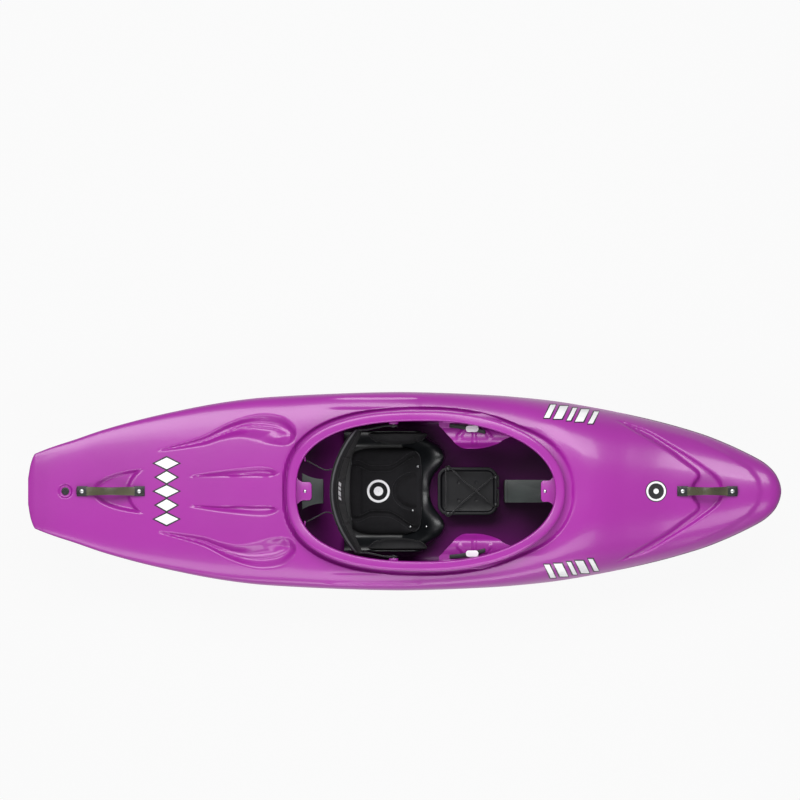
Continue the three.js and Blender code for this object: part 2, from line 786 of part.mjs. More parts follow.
// A recess under a smooth closed outline, whose floor falls from its tail to its head.
function makeRecess(outlineShares, size, growth) {
  const points = outlineShares.map(([along, across]) => (
    new THREE.Vector2(along * size.length, across * size.width)
  ));
  const spline = new THREE.SplineCurve([...points, points[0]]);
  const fineness = growth > 0 ? 1 : 1.5;
  const shape = new THREE.Shape(spline.getPoints(Math.round(outlineShares.length * fineness)).slice(0, -1));
  const cutter = extruded(shape, cutOverrun, {
    bevelEnabled: true,
    bevelThickness: size.depth,
    bevelSize: size.slope + growth,
    bevelSegments: growth > 0 ? 1 : 2,
  });
  const fall = Math.atan2(size.tailZ - size.headZ, size.length);
  const turnedDown = cutter.rotate([0, THREE.MathUtils.radToDeg(fall), 0]);
  return moved(turnedDown, size.tailX, size.tailY, size.tailZ - growth);
}

function scoopSize() {
  const headX = scoopTailX + scoopLength;
  const middleY = scoopTailY + scoopWidth / 2;
  return {
    length: scoopLength, width: scoopWidth, depth: scoopDepth, slope: scoopSlope,
    tailX: scoopTailX, tailY: scoopTailY,
    tailZ: deckAt(scoopTailX, scoopTailY) + scoopDepth * 0.8,
    headZ: deckAt(headX, middleY),
  };
}

function grooveSize() {
  const headX = grooveTailX + grooveLength;
  return {
    length: grooveLength, width: grooveWidth, depth: grooveDepth, slope: grooveSlope,
    tailX: grooveTailX, tailY: grooveTailY,
    tailZ: deckAt(grooveTailX, grooveTailY) + grooveDepth * 0.7,
    headZ: deckAt(headX, grooveTailY),
  };
}

function bowGrooveSize() {
  const headX = bowGrooveTailX + bowGrooveLength;
  return {
    length: bowGrooveLength, width: bowGrooveWidth, depth: bowGrooveDepth, slope: bowGrooveSlope,
    tailX: bowGrooveTailX, tailY: bowGrooveHeadY,
    tailZ: deckAt(bowGrooveTailX, bowGrooveHeadY + bowGrooveWidth) + bowGrooveDepth * 0.7,
    headZ: deckAt(headX, bowGrooveHeadY) + bowGrooveDepth * 0.2,
  };
}

// The fan-shaped hollow that makes finger room under a handle
function makeFan(fan, growth) {
  const shape = new THREE.Shape();
  const middleX = (fan.tipX + fan.endX) / 2;
  const cornerX = fan.endX - fan.halfWidth / 4;
  shape.moveTo(fan.tipX, 0);
  shape.quadraticCurveTo(middleX, -fan.halfWidth / 3, cornerX, -fan.halfWidth);
  shape.quadraticCurveTo(fan.endX + fan.halfWidth / 8, 0, cornerX, fan.halfWidth);
  shape.quadraticCurveTo(middleX, fan.halfWidth / 3, fan.tipX, 0);
  const cutter = extruded(shape, cutOverrun, {
    bevelEnabled: true, bevelThickness: fan.depth, bevelSize: fan.slope + growth, bevelOffset: -fan.slope,
    bevelSegments: 1, curveSegments: growth > 0 ? 3 : 6,
  });
  const [tipZ, endZ] = [deckAt(fan.tipX, 0), deckAt(fan.endX, 0)];
  const fall = Math.atan2(tipZ - endZ, fan.endX - fan.tipX);
  const hung = moved(cutter, -fan.tipX, 0, 0).rotate([0, THREE.MathUtils.radToDeg(fall), 0]);
  return moved(hung, fan.tipX, 0, tipZ - growth);
}

function makeBoltRecess(growth) {
  const first = sideBolts[0];
  const last = sideBolts.at(-1);
  const middle = { x: (first.x + last.x) / 2, z: (first.z + last.z) / 2 };
  const radius = boltRecessHeight / 2 + growth;
  const straight = (boltRecessLength - boltRecessHeight) / 2;
  const shape = new THREE.Shape();
  shape.absarc(straight, 0, radius, -Math.PI / 2, Math.PI / 2);
  shape.absarc(-straight, 0, radius, Math.PI / 2, Math.PI * 1.5);
  const cutter = extruded(shape, cutOverrun).rotate([90, 0, 0]);
  const tilt = THREE.MathUtils.radToDeg(Math.atan2(last.z - first.z, last.x - first.x));
  return moved(cutter.rotate([0, -tilt, 0]), middle.x, sideSeatY + cutOverrun - growth, middle.z);
}

// Breadth of the side at a height, from the straight sides of the section.
function sideAt(x, z, inset = 0) {
  const half = sectionAt(x, inset);
  const upper = half.findIndex(([, height]) => height >= z);
  const [lowOut, lowZ] = half[upper - 1];
  const [highOut, highZ] = half[upper];
  return THREE.MathUtils.mapLinear(z, lowZ, highZ, lowOut, highOut);
}

const sideSeatY = sideAt(sideBolts[1].x, sideBolts[1].z) - boltRecessDepth;
const footRailY = sideAt(footRailFrontX, footRailZ, hullWall) - footRailSideGap;
const footPlateBottomHalfWidth = footRailY - footPlateRailInset;

// Grab handles
function handleLine(handle) {
  const rearZ = deckAt(handle.rearX, 0) - handleFootSink + handleFootHeight;
  const frontZ = deckAt(handle.frontX, 0) - handleFootSink + handleFootHeight;
  return { rearZ, frontZ, tilt: Math.atan2(rearZ - frontZ, handle.frontX - handle.rearX) };
}

function makeHandleBar(handle) {
  const { rearZ, frontZ } = handleLine(handle);
  const span = handle.frontX - handle.rearX;
  const reach = handleFootLength / 2;
  const corner = handleThickness / 3;
  const outline = [
    [-handleWidth / 2, corner], [-handleWidth / 2 + corner, 0], [handleWidth / 2 - corner, 0],
    [handleWidth / 2, corner], [handleWidth / 2, handleThickness - corner],
    [handleWidth / 2 - corner, handleThickness], [-handleWidth / 2 + corner, handleThickness],
    [-handleWidth / 2, handleThickness - corner],
  ];
  const sections = [];
  for (let i = 0; i <= handleSteps; i += 1) {
    const x = handle.rearX - reach + (span + 2 * reach) * (i / handleSteps);
    const share = (x - handle.rearX) / span;
    const arch = smoothStep(0.08, 0.5, share) * smoothStep(0.08, 0.5, 1 - share) * handle.rise;
    const base = THREE.MathUtils.lerp(rearZ, frontZ, share) + arch + clearance;
    sections.push(outline.map(([y, z]) => new THREE.Vector3(x, y, base + z)));
  }
  return loft(sections);
}

function makeFoot(handle, x, growth) {
  const { tilt } = handleLine(handle);
  const z = deckAt(x, 0) - handleFootSink;
  const height = growth > 0 ? cutOverrun : handleFootHeight;
  const foot = block(
    -handleFootLength / 2 - growth, -handleFootWidth / 2 - growth, 0,
    handleFootLength / 2 + growth, handleFootWidth / 2 + growth, height,
  );
  return moved(foot.rotate([0, THREE.MathUtils.radToDeg(tilt), 0]), x, 0, growth > 0 ? z - clearance : z);
}

function makeBoltSolid(shankRadius, shankLength, headRadius, headHeight) {
  const bolt = turned([
    [0, -shankLength], [shankRadius, -shankLength], [shankRadius, 0], [headRadius, 0],
    [headRadius, headHeight / 2], [headRadius * 0.7, headHeight], [0, headHeight],
  ], boltSides);
  return bolt.subtract(disc(shankRadius * 0.8, headHeight / 2, headHeight * 2, 6));
}

function handleScrewPlace(handle, x) {
  const { tilt } = handleLine(handle);
  const z = deckAt(x, 0) - handleFootSink + handleFootHeight + handleThickness + 2 * clearance;
  return (solid) => moved(solid.rotate([0, THREE.MathUtils.radToDeg(tilt), 0]), x, 0, z);
}

function addHandle(handle) {
  let bar = makeHandleBar(handle);
  for (const [end, x] of [['rear', handle.rearX], ['front', handle.frontX]]) {
    const place = handleScrewPlace(handle, x);
    const hole = place(disc(handleScrewRadius + clearance, -handleScrewLength, cutOverrun, boltSides));
    bar = bar.subtract(hole);
    addPiece(`${handle.name}_foot_${end}`, makeFoot(handle, x, 0).subtract(hole), blackPlastic);
    const screw = makeBoltSolid(
      handleScrewRadius, handleScrewLength, handleScrewHeadRadius, handleScrewHeadHeight,
    );
    addPiece(`${handle.name}_screw_${end}`, place(screw), steel);
  }
  addPiece(handle.name, bar, oliveGrip);
}

// Tongues under the neck that hold the pillars, and ledges for the thigh braces and strap lugs
function makeFrontTongue() {
  const wallX = rimFrontX - openingInset;
  const plate = block(
    frontTongueRearX, -frontTongueHalfWidth, frontTongueZ,
    wallX + neckWall, frontTongueHalfWidth, frontTongueZ + tongueThickness,
  );
  const web = block(
    wallX, -frontTongueHalfWidth, frontTongueZ,
    wallX + neckWall, frontTongueHalfWidth, deckAt(wallX, 0) - moatDepth,
  );
  return plate.add(web);
}

function makeRearTongue() {
  const wallX = rimRearX + openingInset;
  const plate = block(
    wallX - neckWall, -rearPillarHalfWidth, rearTongueZ,
    rearTongueFrontX, rearPillarHalfWidth, rearTongueZ + tongueThickness,
  );
  const web = block(
    wallX - neckWall, -rearPillarHalfWidth, rearTongueZ,
    wallX, rearPillarHalfWidth, deckAt(wallX, 0) - moatDepth,
  );
  return plate.add(web);
}

const braceLineZ = (x) => braceRootZ + (x - braceRearX) * braceSlope;

function makeBraceLedge() {
  const outline = [
    [braceLedgeRearX, braceLineZ(braceLedgeRearX)], [braceLedgeFrontX, braceLineZ(braceLedgeFrontX)],
    [braceLedgeFrontX, braceLineZ(braceLedgeFrontX) + braceLedgeThickness],
    [braceLedgeRearX, braceLineZ(braceLedgeRearX) + braceLedgeThickness],
  ];
  const bar = sideCut(outline, (braceLedgeOuterY - braceLedgeInnerY) / 2);
  return moved(bar, 0, (braceLedgeOuterY + braceLedgeInnerY) / 2, 0);
}

function makeAnchorLug() {
  const top = deckAt(anchorX, anchorLugY) - hullWall / 2;
  return block(
    anchorX - anchorLugHalfLength, anchorLugY, anchorZ - anchorLugDrop,
    anchorX + anchorLugHalfLength, anchorLugY + anchorLugThickness, top,
  );
}

function anchorHole(y) {
  const hole = disc(anchorPinRadius + clearance, -cutOverrun, cutOverrun, boltSides);
  return moved(hole.rotate([90, 0, 0]), anchorX, y, anchorZ);
}

// The moulded shell
function makeHull() {
  const skin = loft(skinStations.map((station) => wholeSection(station, 0)));
  let cavity = loft(cavityStations.map((station) => wholeSection(station, hullWall)));
  let hull = skin;
  const twoSided = (solid) => [solid, mirrored(solid)];
  const recesses = (growth) => [
    ...twoSided(makeRecess(scoopOutlineShares, scoopSize(), growth)),
    ...twoSided(makeRecess(grooveOutlineShares, grooveSize(), growth)),
    ...twoSided(makeRecess(bowGrooveOutlineShares, bowGrooveSize(), growth)),
    ...twoSided(makeBoltRecess(growth)),
    makeFan(sternFan, growth),
    makeFan(bowFan, growth),
    makeMoat(Math.min(growth, moatWall)),
    moved(disc(drainRecessRadius + growth, -growth, cutOverrun), drainX, 0, drainFloorZ),
  ];
  for (const recess of recesses(0)) hull = hull.subtract(recess);
  const outside = hull;
  for (const recess of recesses(recessWall)) cavity = cavity.subtract(recess);
  hull = hull.subtract(cavity).subtract(makeOpening());
  const ledges = twoSided(makeBraceLedge()).map((ledge) => ledge.intersect(outside));
  const additions = [
    makeRim(), makeFrontTongue(), makeRearTongue(), ...ledges, ...twoSided(makeAnchorLug()),
    ...twoSided(makeBandCordLug()),
  ];
  for (const addition of additions) hull = hull.add(addition);
  for (const handle of [sternHandle, bowHandle]) {
    for (const x of [handle.rearX, handle.frontX]) {
      hull = hull.subtract(makeFoot(handle, x, clearance));
      const depth = handleScrewLength + clearance;
      const hole = disc(handleScrewRadius + clearance, -depth, cutOverrun, boltSides);
      hull = hull.subtract(handleScrewPlace(handle, x)(hole));
    }
  }
  hull = hull.subtract(moved(plugHole(), drainX, 0, deckAt(drainX, 0)));
  for (const hole of twoSided(anchorHole(anchorLugY))) hull = hull.subtract(hole);
  for (const bolt of sideBolts) {
    for (const hole of twoSided(sideBoltHole(bolt))) hull = hull.subtract(hole);
  }
  hull = hull.subtract(frontBoltHole()).subtract(rearBoltHole());
  return hull;
}

// Bolts through the side of the hull, which hold the foot rails
function sideBoltHole(bolt) {
  const hole = disc(sideBoltRadius + clearance, -cutOverrun, cutOverrun, boltSides).rotate([90, 0, 0]);
  return moved(hole, bolt.x, sideSeatY, bolt.z);
}

function makeSideBolt(bolt) {
  const inner = sideSeatY - footArmY - footRailThickness;
  const solid = turned([
    [0, -inner - footRailThickness * 3], [sideBoltRadius, -inner - footRailThickness * 3],
    [sideBoltRadius, clearance], [sideBoltHeadRadius, clearance],
    [sideBoltHeadRadius, sideBoltHeadHeight / 3], [sideBoltNutRadius, sideBoltHeadHeight / 3],
    [sideBoltNutRadius * 0.8, sideBoltHeadHeight], [0, sideBoltHeadHeight],
  ], boltSides);
  const socket = disc(sideBoltRadius * 0.8, sideBoltHeadHeight / 2, sideBoltHeadHeight * 2, 6);
  return moved(solid.subtract(socket).rotate([-90, 0, 0]), bolt.x, sideSeatY, bolt.z);
}

function addSideBolts() {
  sideBolts.forEach((bolt, i) => {
    const end = i === 0 ? 'rear' : 'front';
    addPiece(`side_bolt_left_${end}`, makeSideBolt(bolt), steel);
    addPiece(`side_bolt_right_${end}`, mirrored(makeSideBolt(bolt)), steel);
  });
}

// Foot rails: flat bars bolted to the sides, then bent in and run straight forward
const footArmY = sideAt(sideBolts[1].x, sideBolts[1].z, hullWall) - boltRecessDepth * 2 - footRailThickness;

function makeFootRail() {
  const first = sideBolts[0].x - footRailHeight / 2;
  const last = sideBolts[1].x + footRailHeight / 2;
  const armZ = (sideBolts[0].z + sideBolts[1].z) / 2;
  const corners = [
    [first, footArmY, armZ], [last, footArmY, armZ], [footRailBendX, footRailY, footRailZ],
    [footRailFrontX, footRailY, footRailZ],
  ].map(([x, y, z]) => new THREE.Vector3(x, y, z));
  const sections = corners.map((corner) => [
    new THREE.Vector3(corner.x, corner.y, corner.z - footRailHeight / 2),
    new THREE.Vector3(corner.x, corner.y + footRailThickness, corner.z - footRailHeight / 2),
    new THREE.Vector3(corner.x, corner.y + footRailThickness, corner.z + footRailHeight / 2),
    new THREE.Vector3(corner.x, corner.y, corner.z + footRailHeight / 2),
  ]);
  let rail = loft(sections);
  for (const bolt of sideBolts) rail = rail.subtract(sideBoltHole(bolt));
  return rail;
}

function makeFootPlate() {
  const reach = footRailY - clearance;
  const shoulder = footPlateTopZ - footRailHeight;
  const shape = new THREE.Shape();
  shape.moveTo(-footPlateBottomHalfWidth, footPlateBottomZ);
  shape.lineTo(footPlateBottomHalfWidth, footPlateBottomZ);
  shape.lineTo(reach, footRailZ - footRailHeight / 2);
  shape.lineTo(reach, footRailZ + footRailHeight / 2);
  shape.lineTo(footPlateBottomHalfWidth, shoulder);
  const bend = footPlateBottomHalfWidth * 0.75;
  shape.quadraticCurveTo(bend, footPlateTopZ, 0, footPlateTopZ);
  shape.quadraticCurveTo(-bend, footPlateTopZ, -footPlateBottomHalfWidth, shoulder);
  shape.lineTo(-reach, footRailZ + footRailHeight / 2);
  shape.lineTo(-reach, footRailZ - footRailHeight / 2);
  shape.closePath();
  const plate = extruded(shape, footPlateThickness).rotate([90, 0, 0]).rotate([0, 0, 90]);
  const shoe = block(
    0, footRailY - clearance - footRailThickness * 2, footRailZ - footRailHeight / 2,
    footShoeLength, footRailY - clearance, footRailZ + footRailHeight / 2,
  );
  return moved(plate.add(shoe).add(mirrored(shoe)), footPlateX, 0, 0);
}

function makeFootFoam() {
  const half = footPlateBottomHalfWidth - footFoamInset;
  const height = footPlateTopZ - footPlateBottomZ - footRailHeight - footFoamInset;
  const edge = (u, v) => {
    const bulge = Math.sin(Math.PI * u) ** 0.3 * Math.sin(Math.PI * v) ** 0.3;
    return { y: (u * 2 - 1) * half, z: footPlateBottomZ + footFoamInset + v * height, bulge };
  };
  const frontX = footPlateX - clearance;
  return panel(8, 6, (u, v) => {
    const { y, z, bulge } = edge(u, v);
    return new THREE.Vector3(frontX - footFoamThickness * (0.6 + 0.4 * bulge), y, z);
  }, (u, v) => {
    const { y, z } = edge(u, v);
    return new THREE.Vector3(frontX, y, z);
  });
}

// Drain plug on its washer, in a round recess near the stern
function makeGasket() {
  const ring = disc(plugFlangeRadius, 0, gasketHeight).subtract(plugHole());
  return moved(ring, drainX, 0, drainFloorZ + clearance);
}

function makePlug() {
  const body = turned([
    [0, -plugShankLength], [plugShankRadius * 0.85, -plugShankLength],
    [plugShankRadius, -plugShankLength * 0.8], [plugShankRadius, 0],
    [plugFlangeRadius, 0], [plugFlangeRadius, plugFlangeHeight],
    [plugHeadRadius, plugFlangeHeight], [plugHeadRadius, plugHeadHeight], [0, plugHeadHeight],
  ]);
  const slot = block(
    -plugHeadRadius * 2, -plugSlotWidth / 2, plugHeadHeight - plugSlotDepth,
    plugHeadRadius * 2, plugSlotWidth / 2, cutOverrun,
  );
  return moved(body.subtract(slot), drainX, 0, drainFloorZ + gasketHeight + 2 * clearance);
}

// Seat pan: a moulded sheet that rises at the sides and swells into two thigh lobes at the front
function seatFrontEdge(across) {
  const lobe = Math.exp(-(((across - lobeCentreShare) / 0.27) ** 2));
  const corner = smoothStep(0.72, 1, across);
  const lobeX = seatSaddleX + (seatFrontX - seatSaddleX) * lobe;
  return seatSaddleX + (lobeX - seatSaddleX) * (1 - corner) + (seatCornerX - seatSaddleX) * corner;
}

function seatHeight(u, across) {
  const lobe = Math.exp(-(((across - lobeCentreShare) / 0.3) ** 2));
  const rise = smoothStep(0.56, 0.9, u) * lobeRise * (saddleShare + (1 - saddleShare) * lobe);
  const side = smoothStep(0.74, 1, across) * seatSideRise;
  const drop = smoothStep(0.9, 1, u) ** 2 * lobeDrop;
  return seatBaseZ + Math.max(rise, side) - drop;
}

function seatSurface(u, v, lift) {
  const across = Math.abs(v * 2 - 1);
  const run = Math.min(1, u / 0.93);
  const x = seatRearX + (seatFrontEdge(across) - seatRearX) * run + smoothStep(0.9, 1, u) * seatSheet * 0.8;
  const lipX = u > 0.92 ? lift * 0.8 : 0;
  return new THREE.Vector3(x + lipX, (v * 2 - 1) * seatHalfWidth, seatHeight(u, across) + lift);
}

function makeHipPlate() {
  const shape = new THREE.Shape();
  const corner = (hipPlateFrontX - hipPlateRearX) / 5;
  shape.moveTo(hipPlateRearX, seatBaseZ + seatSideRise / 2);
  shape.lineTo(hipPlateFrontX, seatBaseZ + seatSideRise / 2);
  shape.lineTo(hipPlateFrontX, hipPlateTopZ - corner);
  shape.quadraticCurveTo(hipPlateFrontX, hipPlateTopZ, hipPlateFrontX - corner, hipPlateTopZ);
  shape.lineTo(hipPlateRearX + corner, hipPlateTopZ);
  shape.quadraticCurveTo(hipPlateRearX, hipPlateTopZ, hipPlateRearX, hipPlateTopZ - corner);
  shape.closePath();
  const plate = extruded(shape, hipPlateThickness).rotate([90, 0, 0]);
  return moved(plate, 0, seatHalfWidth, 0);
}

function makeSeatPan() {
  const under = (u, v) => seatSurface(u, v, -seatSheet / 2);
  const over = (u, v) => seatSurface(u, v, seatSheet / 2);
  let pan = panel(14, 16, under, over);
  for (const side of [1, -1]) {
    const runner = block(
      seatRearX + seatRailWidth, -seatRailWidth / 3, seatRailTopZ + clearance,
      0, seatRailWidth / 3, seatBaseZ,
    );
    pan = pan.add(moved(runner, 0, side * seatRailY, 0));
  }
  return pan.add(makeHipPlate()).add(mirrored(makeHipPlate()));
}

const seatRailTopZ = seatBaseZ - seatSheet;

function makeSeatRail() {
  const bottom = (u) => {
    const x = THREE.MathUtils.lerp(seatRailRearX, seatRailFrontX, u);
    return { x, z: floorAt(x) + clearance };
  };
  return panel(10, 1, (u, v) => {
    const { x, z } = bottom(u);
    return new THREE.Vector3(x, seatRailY + (v - 0.5) * seatRailWidth, z);
  }, (u, v) => {
    const { x, z } = bottom(u);
    const top = Math.max(z + hullWall / 2, seatRailTopZ);
    return new THREE.Vector3(x, seatRailY + (v - 0.5) * seatRailWidth, top);
  });
}

// Seat pad: crowned foam with two sewn channels that spread towards the front
function channelAt(x) {
  return padChannelY + padChannelSpread * smoothStep(padFrontX - padSpreadLength, padFrontX, x);
}

function padFootprint(u, v) {
  const across = v * 2 - 1;
  const round = 1 - 0.14 * (2 * u - 1) ** 4;
  const x = THREE.MathUtils.lerp(padRearX, padFrontX, u) - padEndBow * across ** 2 * (2 * u - 1);
  return { x, y: across * padHalfWidth * round, across };
}

function seatTopAt(x, y) {
  const across = Math.abs(y) / seatHalfWidth;
  const u = 0.93 * (x - seatRearX) / (seatFrontEdge(across) - seatRearX);
  return seatHeight(Math.min(u, 0.9), across) + seatSheet / 2;
}

function makeSeatPad() {
  const lower = (u, v) => {
    const { x, y } = padFootprint(u, v);
    return new THREE.Vector3(x, y, seatTopAt(x, y) + padLift);
  };
  const upper = (u, v) => {
    const { x, y } = padFootprint(u, v);
    const edge = (Math.sin(Math.PI * u) * Math.sin(Math.PI * v)) ** 0.35;
    const offset = (Math.abs(y) - channelAt(x)) / padChannelWidth;
    const channel = Math.exp(-(offset ** 2)) * padChannelDepth;
    const lift = padLift + padThickness * 0.5 + (padCrown - channel) * edge;
    return new THREE.Vector3(x, y, seatTopAt(x, y) + lift);
  };
  return panel(18, 18, lower, upper);
}

// Hip pad: a crowned block of foam inside a hip plate
function makeHipPad() {
  const outerY = seatHalfWidth - hipPlateThickness - clearance;
  const place = (u, v) => {
    const x = THREE.MathUtils.lerp(hipPadRearX, hipPadFrontX, u);
    const seat = Math.max(seatTopAt(x, outerY), seatTopAt(x, outerY - hipPadThickness));
    const bottom = Math.max(hipPadBottomZ, seat + hipPadLift);
    const z = THREE.MathUtils.lerp(bottom, hipPadTopZ, v) - hipPadRound * (2 * u - 1) ** 2 * v;
    const edge = (Math.sin(Math.PI * u) * Math.sin(Math.PI * v)) ** 0.4;
    return { x, z, edge };
  };
  return panel(9, 6, (u, v) => {
    const { x, z, edge } = place(u, v);
    return new THREE.Vector3(x, outerY - hipPadThickness * (0.35 + 0.65 * edge), z);
  }, (u, v) => {
    const { x, z } = place(u, v);
    return new THREE.Vector3(x, outerY, z);
  });
}

// Height of a solid's top within a radius of a place
function topOver(solid, x, y, radius) {
  return solid.intersect(moved(disc(radius, 0, hullHeight, boltSides), x, y, 0)).boundingBox().max[2];
}

function addStuds(pan, pad) {
  for (const [along, across, name, base] of studShares) {
    const x = THREE.MathUtils.lerp(padRearX, padFrontX, along);
    const y = across * padHalfWidth;
    const z = topOver(base === 'pad' ? pad : pan, x, y, studRadius) + clearance;
    const profile = [[0, 0], [studRadius, 0], [studRadius * 0.7, studHeight], [0, studHeight]];
    addPiece(`seat_stud_${name}`, moved(turned(profile, boltSides), x, y, z), steel);
  }
}

// Gear tray in front of the seat, open from below, with a raised edge and four cord hooks
function roundedRectangle(lowX, highX, halfWidth, corner) {
  const shape = new THREE.Shape();
  shape.absarc(highX - corner, halfWidth - corner, corner, 0, Math.PI / 2);
  shape.absarc(lowX + corner, halfWidth - corner, corner, Math.PI / 2, Math.PI);
  shape.absarc(lowX + corner, -halfWidth + corner, corner, Math.PI, Math.PI * 1.5);
  shape.absarc(highX - corner, -halfWidth + corner, corner, Math.PI * 1.5, Math.PI * 2);
  return shape;
}

const trayBottomZ = floorAt((trayRearX + trayFrontX) / 2) + clearance;
const trayFloorZ = trayTopZ - trayRecess;

function makeTray() {
  const inset = (edge, low, high) => {
    const corner = trayCorner - edge;
    const shape = roundedRectangle(trayRearX + edge, trayFrontX - edge, trayHalfWidth - edge, corner);
    return moved(extruded(shape, high - low, { curveSegments: 3 }), 0, 0, low);
  };
  return inset(0, trayBottomZ, trayTopZ)
    .subtract(inset(trayEdge, trayFloorZ, trayTopZ + cutOverrun))
    .subtract(inset(trayWall, trayBottomZ - cutOverrun, trayFloorZ - trayWall));
}

const trayHookPlaces = [
  [trayRearX + trayCorner, trayHalfWidth - trayEdge / 2, 'rear_left'],
  [trayRearX + trayCorner, trayEdge / 2 - trayHalfWidth, 'rear_right'],
  [trayFrontX - trayEdge / 2, trayHalfWidth - trayCorner, 'front_left'],
  [trayFrontX - trayEdge / 2, trayCorner - trayHalfWidth, 'front_right'],
];

function makeTrayHook() {
  const post = turned([
    [0, 0], [trayHookRadius * 0.6, 0], [trayHookRadius * 0.6, trayHookHeight * 0.7],
    [trayHookRadius, trayHookHeight * 0.75], [trayHookRadius, trayHookHeight], [0, trayHookHeight],
  ], boltSides);
  return post;
}

function addTray() {
  addPiece('gear_tray', makeTray(), blackPlastic);
  for (const [x, y, name] of trayHookPlaces) {
    addPiece(`tray_hook_${name}`, moved(makeTrayHook(), x, y, trayTopZ + clearance), blackPlastic);
  }
  const height = trayTopZ + clearance + trayHookHeight * 0.35;
  const route = trayCordRoute.map(([x, y, hop]) => [x, y, height + hop]);
  addPiece('tray_cord', cord(route, trayCordDiameter, trayCordSteps), cordFinish);
}

// Front pillar: a foam wall between the legs, cut to the hull's floor below and to the deck above
function spacedOut(low, high, count) {
  return Array.from({ length: count + 1 }, (_, i) => THREE.MathUtils.lerp(low, high, i / count));
}

const moatReach = moatWidth - rimLip + moatWall + 2 * pillarRoof;

function makeFrontPillar() {
  const stepX = rimFrontX + moatReach;
  const topZ = frontTongueZ - pillarCapThickness - 2 * clearance;
  const outline = [
    ...spacedOut(frontPillarRearX, frontPillarFrontX, 6).map((x) => [x, floorAt(x) + clearance]),
    ...spacedOut(frontPillarFrontX, stepX, 3).map((x) => [x, deckAt(x, 0, hullWall) - pillarRoof]),
    [stepX, topZ], [frontPillarRearX, topZ],
  ];
  return sideCut(outline, frontPillarHalfWidth).subtract(frontBoltHole());
}

function makeFrontCap() {
  const plate = block(
    frontPillarRearX - pillarCapOverhang, -frontPillarHalfWidth - pillarCapOverhang, 0,
    frontCapFrontX, frontPillarHalfWidth + pillarCapOverhang, pillarCapThickness,
  );
  const lip = block(
    frontPillarRearX - pillarCapOverhang, -frontPillarHalfWidth - pillarCapOverhang, 0,
    frontPillarRearX + pillarCapOverhang, frontPillarHalfWidth + pillarCapOverhang, 2 * pillarCapThickness,
  );
  const whole = moved(plate.add(lip), 0, 0, frontTongueZ - pillarCapThickness - clearance);
  return whole.subtract(frontBoltHole());
}

function boltHole(x, z) {
  const depth = pillarBoltLength + clearance;
  return moved(disc(pillarBoltRadius + clearance, -depth, cutOverrun, boltSides), x, 0, z);
}

const frontBoltHole = () => boltHole(frontBoltX, frontTongueZ + tongueThickness);
const rearBoltHole = () => boltHole(rearBoltX, rearTongueZ + tongueThickness);

function addPillarBolts() {
  const bolt = () => makeBoltSolid(
    pillarBoltRadius, pillarBoltLength, pillarBoltHeadRadius, pillarBoltHeadHeight,
  );
  const lift = tongueThickness + clearance;
  addPiece('front_pillar_bolt', moved(bolt(), frontBoltX, 0, frontTongueZ + lift), steel);
  addPiece('rear_pillar_bolt', moved(bolt(), rearBoltX, 0, rearTongueZ + lift), steel);
}

// Rear pillar: the same kind of foam wall behind the seat, under a cap that flares to the stern
function makeRearPillar() {
  const stepX = rimRearX - moatReach;
  const topZ = rearTongueZ - pillarCapThickness - 2 * clearance;
  const outline = [
    ...spacedOut(rearPillarRearX, rearPillarFrontX, 10).map((x) => [x, floorAt(x) + clearance]),
    [rearPillarFrontX, topZ], [stepX, topZ],
    ...spacedOut(stepX, rearPillarRearX, 6).map((x) => [x, deckAt(x, 0, hullWall) - rearPillarRoof]),
  ];
  return sideCut(outline, rearPillarHalfWidth).subtract(rearBoltHole());
}

function makeRearCap() {
  const front = rearPillarFrontX + pillarCapOverhang;
  const narrow = rearPillarHalfWidth + 3 * pillarCapOverhang;
  const shape = new THREE.Shape();
  shape.moveTo(front, -narrow);
  shape.lineTo(front, narrow);
  shape.quadraticCurveTo((front + rearCapRearX) / 2, narrow, rearCapRearX, rearFlareHalfWidth);
  shape.lineTo(rearCapRearX, -rearFlareHalfWidth);
  shape.quadraticCurveTo((front + rearCapRearX) / 2, -narrow, front, -narrow);
  const cap = extruded(shape, pillarCapThickness);
  return moved(cap, 0, 0, rearTongueZ - pillarCapThickness - clearance).subtract(rearBoltHole());
}

// Back band: an arc of padded foam that hangs on two side straps
function bandPlace(u, v, face) {
  const across = u * 2 - 1;
  const height = THREE.MathUtils.lerp(bandHeight, bandEndHeight, across ** 2);
  const up = (v - 0.5) * 2;
  const edge = (1 - across ** 8) ** 0.5 * (1 - up ** 6) ** 0.5;
  const depth = bandThickness / 2 * (0.4 + 0.6 * edge);
  const x = bandCentreX + bandSweep * across ** 2 - bandLean / 2 * up * (1 - across ** 2 / 2);
  return new THREE.Vector3(x + face * depth, across * bandHalfWidth, bandCentreZ + up * height / 2);
}

function makeBackBand() {
  return panel(16, 6, (u, v) => bandPlace(u, v, -1), (u, v) => bandPlace(u, v, 1));
}

function makeSideStrap() {
  const innerY = anchorLugY - anchorPinHeadHeight - strapThickness;
  const places = [
    [bandCentreX + bandSweep - bandThickness / 2, bandHalfWidth + clearance, bandCentreZ],
    [bandCentreX + bandSweep + bandThickness, bandHalfWidth + clearance, bandCentreZ],
    [anchorX - strapHeight, innerY, anchorZ],
    [anchorX + strapHeight / 2, innerY, anchorZ],
  ];
  const sections = places.map(([x, y, z]) => [
    new THREE.Vector3(x, y, z - strapHeight / 2),
    new THREE.Vector3(x, y + strapThickness, z - strapHeight / 2),
    new THREE.Vector3(x, y + strapThickness, z + strapHeight / 2),
    new THREE.Vector3(x, y, z + strapHeight / 2),
  ]);
  return loft(sections).subtract(anchorHole(innerY));
}

